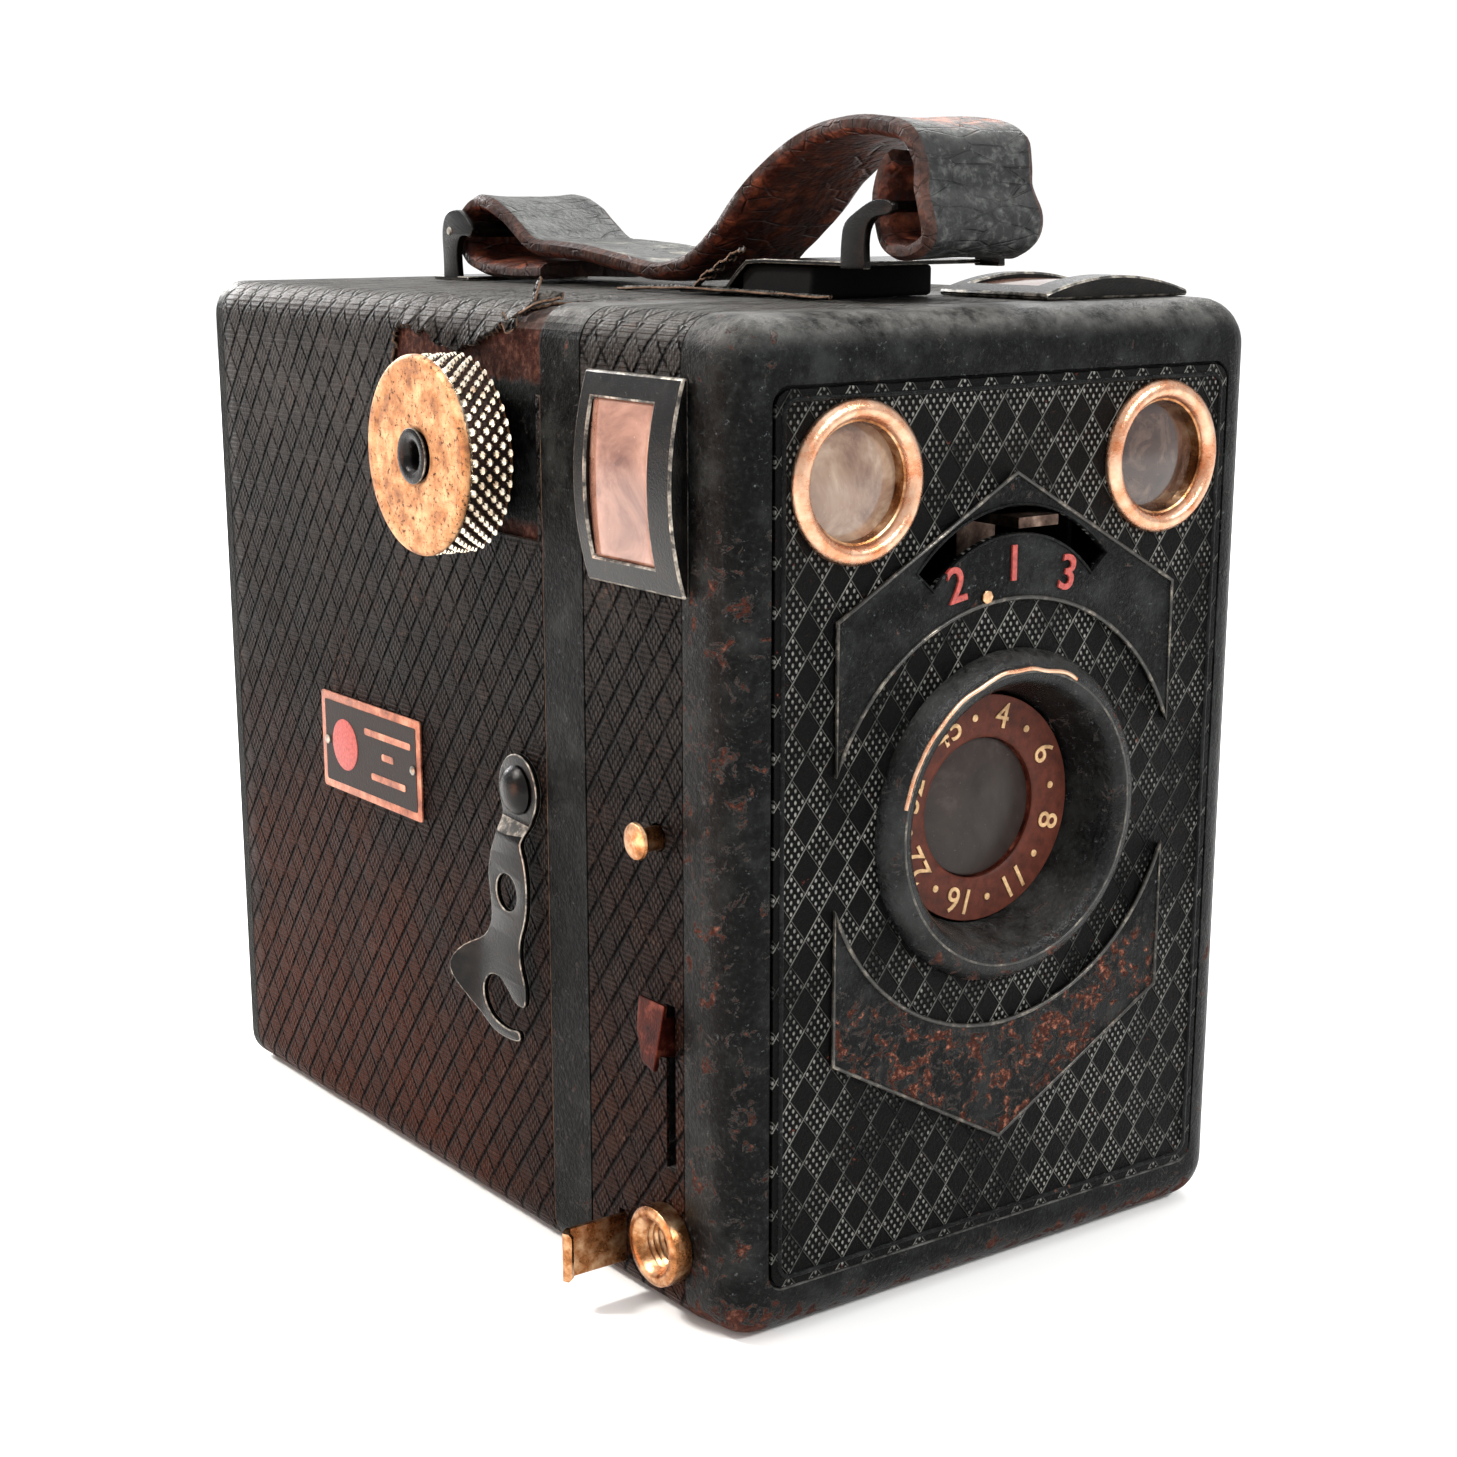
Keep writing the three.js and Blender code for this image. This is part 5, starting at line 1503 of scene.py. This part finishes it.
def windows():
    """The two viewing windows: a bulged frame round a curved pane."""
    for name in ("side", "top"):
        low, high, centre = extent(f"{name}_window_frame")
        front, back = low.y, high.y
        along = (high.z - low.z) / 2 if name == "side" else (high.x - low.x) / 2
        wall = high.x if name == "side" else low.z
        rise = (wall - low.x) if name == "side" else (high.z - wall)

        def place(t, y, out):
            if name == "side":
                return Vector((wall - out, y, centre.z + t))
            return Vector((centre.x + t, y, wall + out))

        def arched(t, base, top):
            return base + (top - base) * (1 - (t / along) ** 2)

        inner = along - 2.9
        depth = (front + 4.4, back - 2.3)
        rings = []
        for i in range(37):
            t = -along + 2 * along * i / 36
            top = arched(t, 0.7, rise)
            rings.append([place(t, front, 0), place(t, front, top), place(t, back, top), place(t, back, 0)])
        corners = [place(-inner, depth[0], -5), place(inner, depth[1], 10)]
        hole = block([min(a, b) for a, b in zip(*corners)], [max(a, b) for a, b in zip(*corners)])
        bm = carved(loft(rings, ends=True), hole)
        piece(f"{name}_window_surround", bm, [DARK_STEEL, WORN_EDGE], "front_section",
              [f"{name}_window_frame"], bevel=0.28, worn=True)

        glass = bmesh.new()
        rows = []
        for i in range(25):
            t = -inner - 0.2 + (2 * inner + 0.4) * i / 24
            row = []
            for k in range(9):
                y = depth[0] - 0.1 + (depth[1] - depth[0] + 0.2) * k / 8
                row.append(glass.verts.new(place(t, y, arched(t, 0.5, rise - 0.75))))
            rows.append(row)
        skin_rows(glass, rows)
        made = piece(f"{name}_window_pane", glass, [WINDOW_GLASS], "front_section",
                     [f"{name}_window_glass"])
        thicken(made, 0.5, -1)


def grooves(place, end, crest):
    """Ring grooves down a bore in place of a thread, as (radius, place) points."""
    points = []
    while place > end:
        points += [(THREAD_RADIUS, place), (crest, place - THREAD_DEPTH)]
        place -= THREAD_PITCH
    return points


def bushes():
    low, high, centre = extent("tripod_bush_side")
    radius, face = (high.z - low.z) / 2, low.x
    bore = [(THREAD_RADIUS, -36.4), *grooves(-36.9, face + 1.1, 2.65)]
    bore += [(THREAD_RADIUS, face + 0.5), (3.5, face + 0.08), (3.8, face)]
    profile = bore + [(4.4, face + 0.05), (4.75, face + 0.35), (radius, face + 0.8), (radius, face + 2.5),
                      (4.05, face + 2.5),
                      (4.05, -35.2), (3.2, -35.2)]
    piece("tripod_bush_side_threaded", lathe("x", centre, profile, 64), [BRASS], "front_section",
          ["tripod_bush_side"])
    floor = lathe("x", centre, [(0, -36.3), (3.2, -36.3), (3.2, -35.3), (0, -35.3)], 40)
    piece("tripod_bush_side_floor", floor, [INNER_BLACK], "front_section")

    low, high, centre = extent("tripod_bush_bottom")
    bore = [(THREAD_RADIUS, 5.8), *grooves(5.4, 1.0, 2.7)]
    profile = bore + [(THREAD_RADIUS, 0.4), (3.45, low.z), (5.3, low.z), (5.5, 0.3), (5.5, high.z),
                      (0, high.z), (0, 5.8)]
    piece("tripod_bush_bottom_threaded", lathe("z", centre, profile, 64), [BRASS], "front_section",
          ["tripod_bush_bottom"])


def shutter():
    dress("shutter_lever", RED_COPPER, 0.14)
    dress("shutter_blade", DARK_STEEL, 0.06)
    dress("aperture_plate", APERTURE_STEEL, 0.14)
    low, high, _ = extent("time_tab")
    out = low.x
    line = [(-30, high.y - 0.9), (out + 2.6, high.y - 0.9), (out + 1.2, high.y - 1.0),
            (out + 0.45, high.y - 1.5),
            (out + 0.3, low.y + 0.9), (out + 0.8, low.y + 0.15)]
    spine = smooth_line([(x, y, 0) for x, y in line], 6)
    rings = []
    for i, spot in enumerate(spine):
        ahead = (spine[min(i + 1, len(spine) - 1)] - spine[max(i - 1, 0)]).normalized()
        across = Vector((-ahead.y, ahead.x, 0)) * 0.3
        end = 0.0 if i < len(spine) - 3 else 0.5 * (i - len(spine) + 4) / 3
        rings.append([spot + across + Vector((0, 0, low.z + end)),
                      spot + across + Vector((0, 0, high.z - end)),
                      spot - across + Vector((0, 0, high.z - end)),
                      spot - across + Vector((0, 0, low.z + end))])
    piece("time_tab_bent", loft(rings, ends=True), [BRASS], "time_setting", ["time_tab"], bevel=0.12)


def inside():
    for node, material, slot in (
        ("carrier_bulkhead", INNER_BLACK, "black_enamel"),
        ("light_tunnel", INNER_BLACK, "black_enamel"),
        ("film_gate", BRIGHT_STEEL, "bright_steel"),
        ("cheek_plate_left", BRIGHT_STEEL, "bright_steel"),
        ("cheek_plate_right", BRIGHT_STEEL, "bright_steel"),
        ("film_roller_top", BRIGHT_STEEL, "bright_steel"),
        ("film_roller_bottom", BRIGHT_STEEL, "bright_steel"),
        ("spool_pin_take_up", BRIGHT_STEEL, "bright_steel"),
        ("spool_pin_supply_left", BRIGHT_STEEL, "bright_steel"),
        ("spool_pin_supply_right", BRIGHT_STEEL, "bright_steel"),
        ("take_up_spool", SPOOL_BLACK, "spool_black"),
    ):
        dress(node, material, 0.12)


# ---- the picture ----

CAMERA_PLACE = Vector((-188.3, -263.9, 127.2)) * MM
CAMERA_TARGET = Vector((5.32, 0.0, 41.7)) * MM


def light(name, place, target, size, power, colour=(1, 1, 1)):
    data = bpy.data.lights.new(name, "AREA")
    data.shape = "DISK"
    data.size = size
    data.energy = power
    data.color = colour
    made = bpy.data.objects.new(name, data)
    bpy.context.scene.collection.objects.link(made)
    made.location = place
    made.rotation_euler = (Vector(target) - Vector(place)).to_track_quat("-Z", "Y").to_euler()


def studio():
    scene = bpy.context.scene
    scene.view_settings.view_transform = "Standard"
    world = bpy.data.worlds.new("studio")
    world.use_nodes = True
    background = world.node_tree.nodes["Background"]
    background.inputs["Color"].default_value = (1.0, 1.0, 1.0, 1)
    background.inputs["Strength"].default_value = 1.02
    scene.world = world

    bm = bmesh.new()
    bmesh.ops.create_grid(bm, x_segments=8, y_segments=8, size=6)
    mesh = bpy.data.meshes.new("floor")
    bm.to_mesh(mesh)
    bm.free()
    floor = bpy.data.objects.new("floor", mesh)
    scene.collection.objects.link(floor)
    pale = bpy.data.materials.new("pale_floor")
    pale.use_nodes = True
    surface = pale.node_tree.nodes["Principled BSDF"]
    surface.inputs["Base Color"].default_value = (0.93, 0.93, 0.92, 1)
    surface.inputs["Roughness"].default_value = 0.9
    surface.inputs["Specular IOR Level"].default_value = 0.1
    mesh.materials.append(pale)
    floor.location.z = -0.0001

    sky = bpy.data.lights.new("overhead", "SUN")
    sky.energy, sky.angle = 0.5, 0.9
    scene.collection.objects.link(bpy.data.objects.new("overhead", sky))
    light("key", (-0.55, 0.3, 0.75), (0, 0, 0.06), 0.16, 9, (1.0, 0.97, 0.93))
    light("front", (0.25, -0.85, 0.75), (0, 0, 0.06), 0.16, 8)
    light("rim", (0.5, 0.4, 0.6), (0, 0, 0.08), 0.2, 2)
    light("back", (0.1, 1.5, 0.55), (0, 0, 0.1), 0.6, 22)
    light("warm_low", (-0.5, 0.1, 0.03), (-0.03, 0.02, 0.02), 0.2, 1.2, (1.0, 0.42, 0.22))

    data = bpy.data.cameras.new("camera")
    data.lens = 60.6
    data.sensor_width = 36
    data.shift_y = 0.0686
    data.clip_start = 0.01
    shot = bpy.data.objects.new("camera", data)
    scene.collection.objects.link(shot)
    shot.location = CAMERA_PLACE
    shot.rotation_euler = (CAMERA_TARGET - CAMERA_PLACE).to_track_quat("-Z", "Y").to_euler()
    scene.camera = shot


rear_case()
strap()
brackets()
knurled_knob()
latches()
front_cover()
front_panel()
lens()
finders()
bushes()
shutter()
inside()
studio()
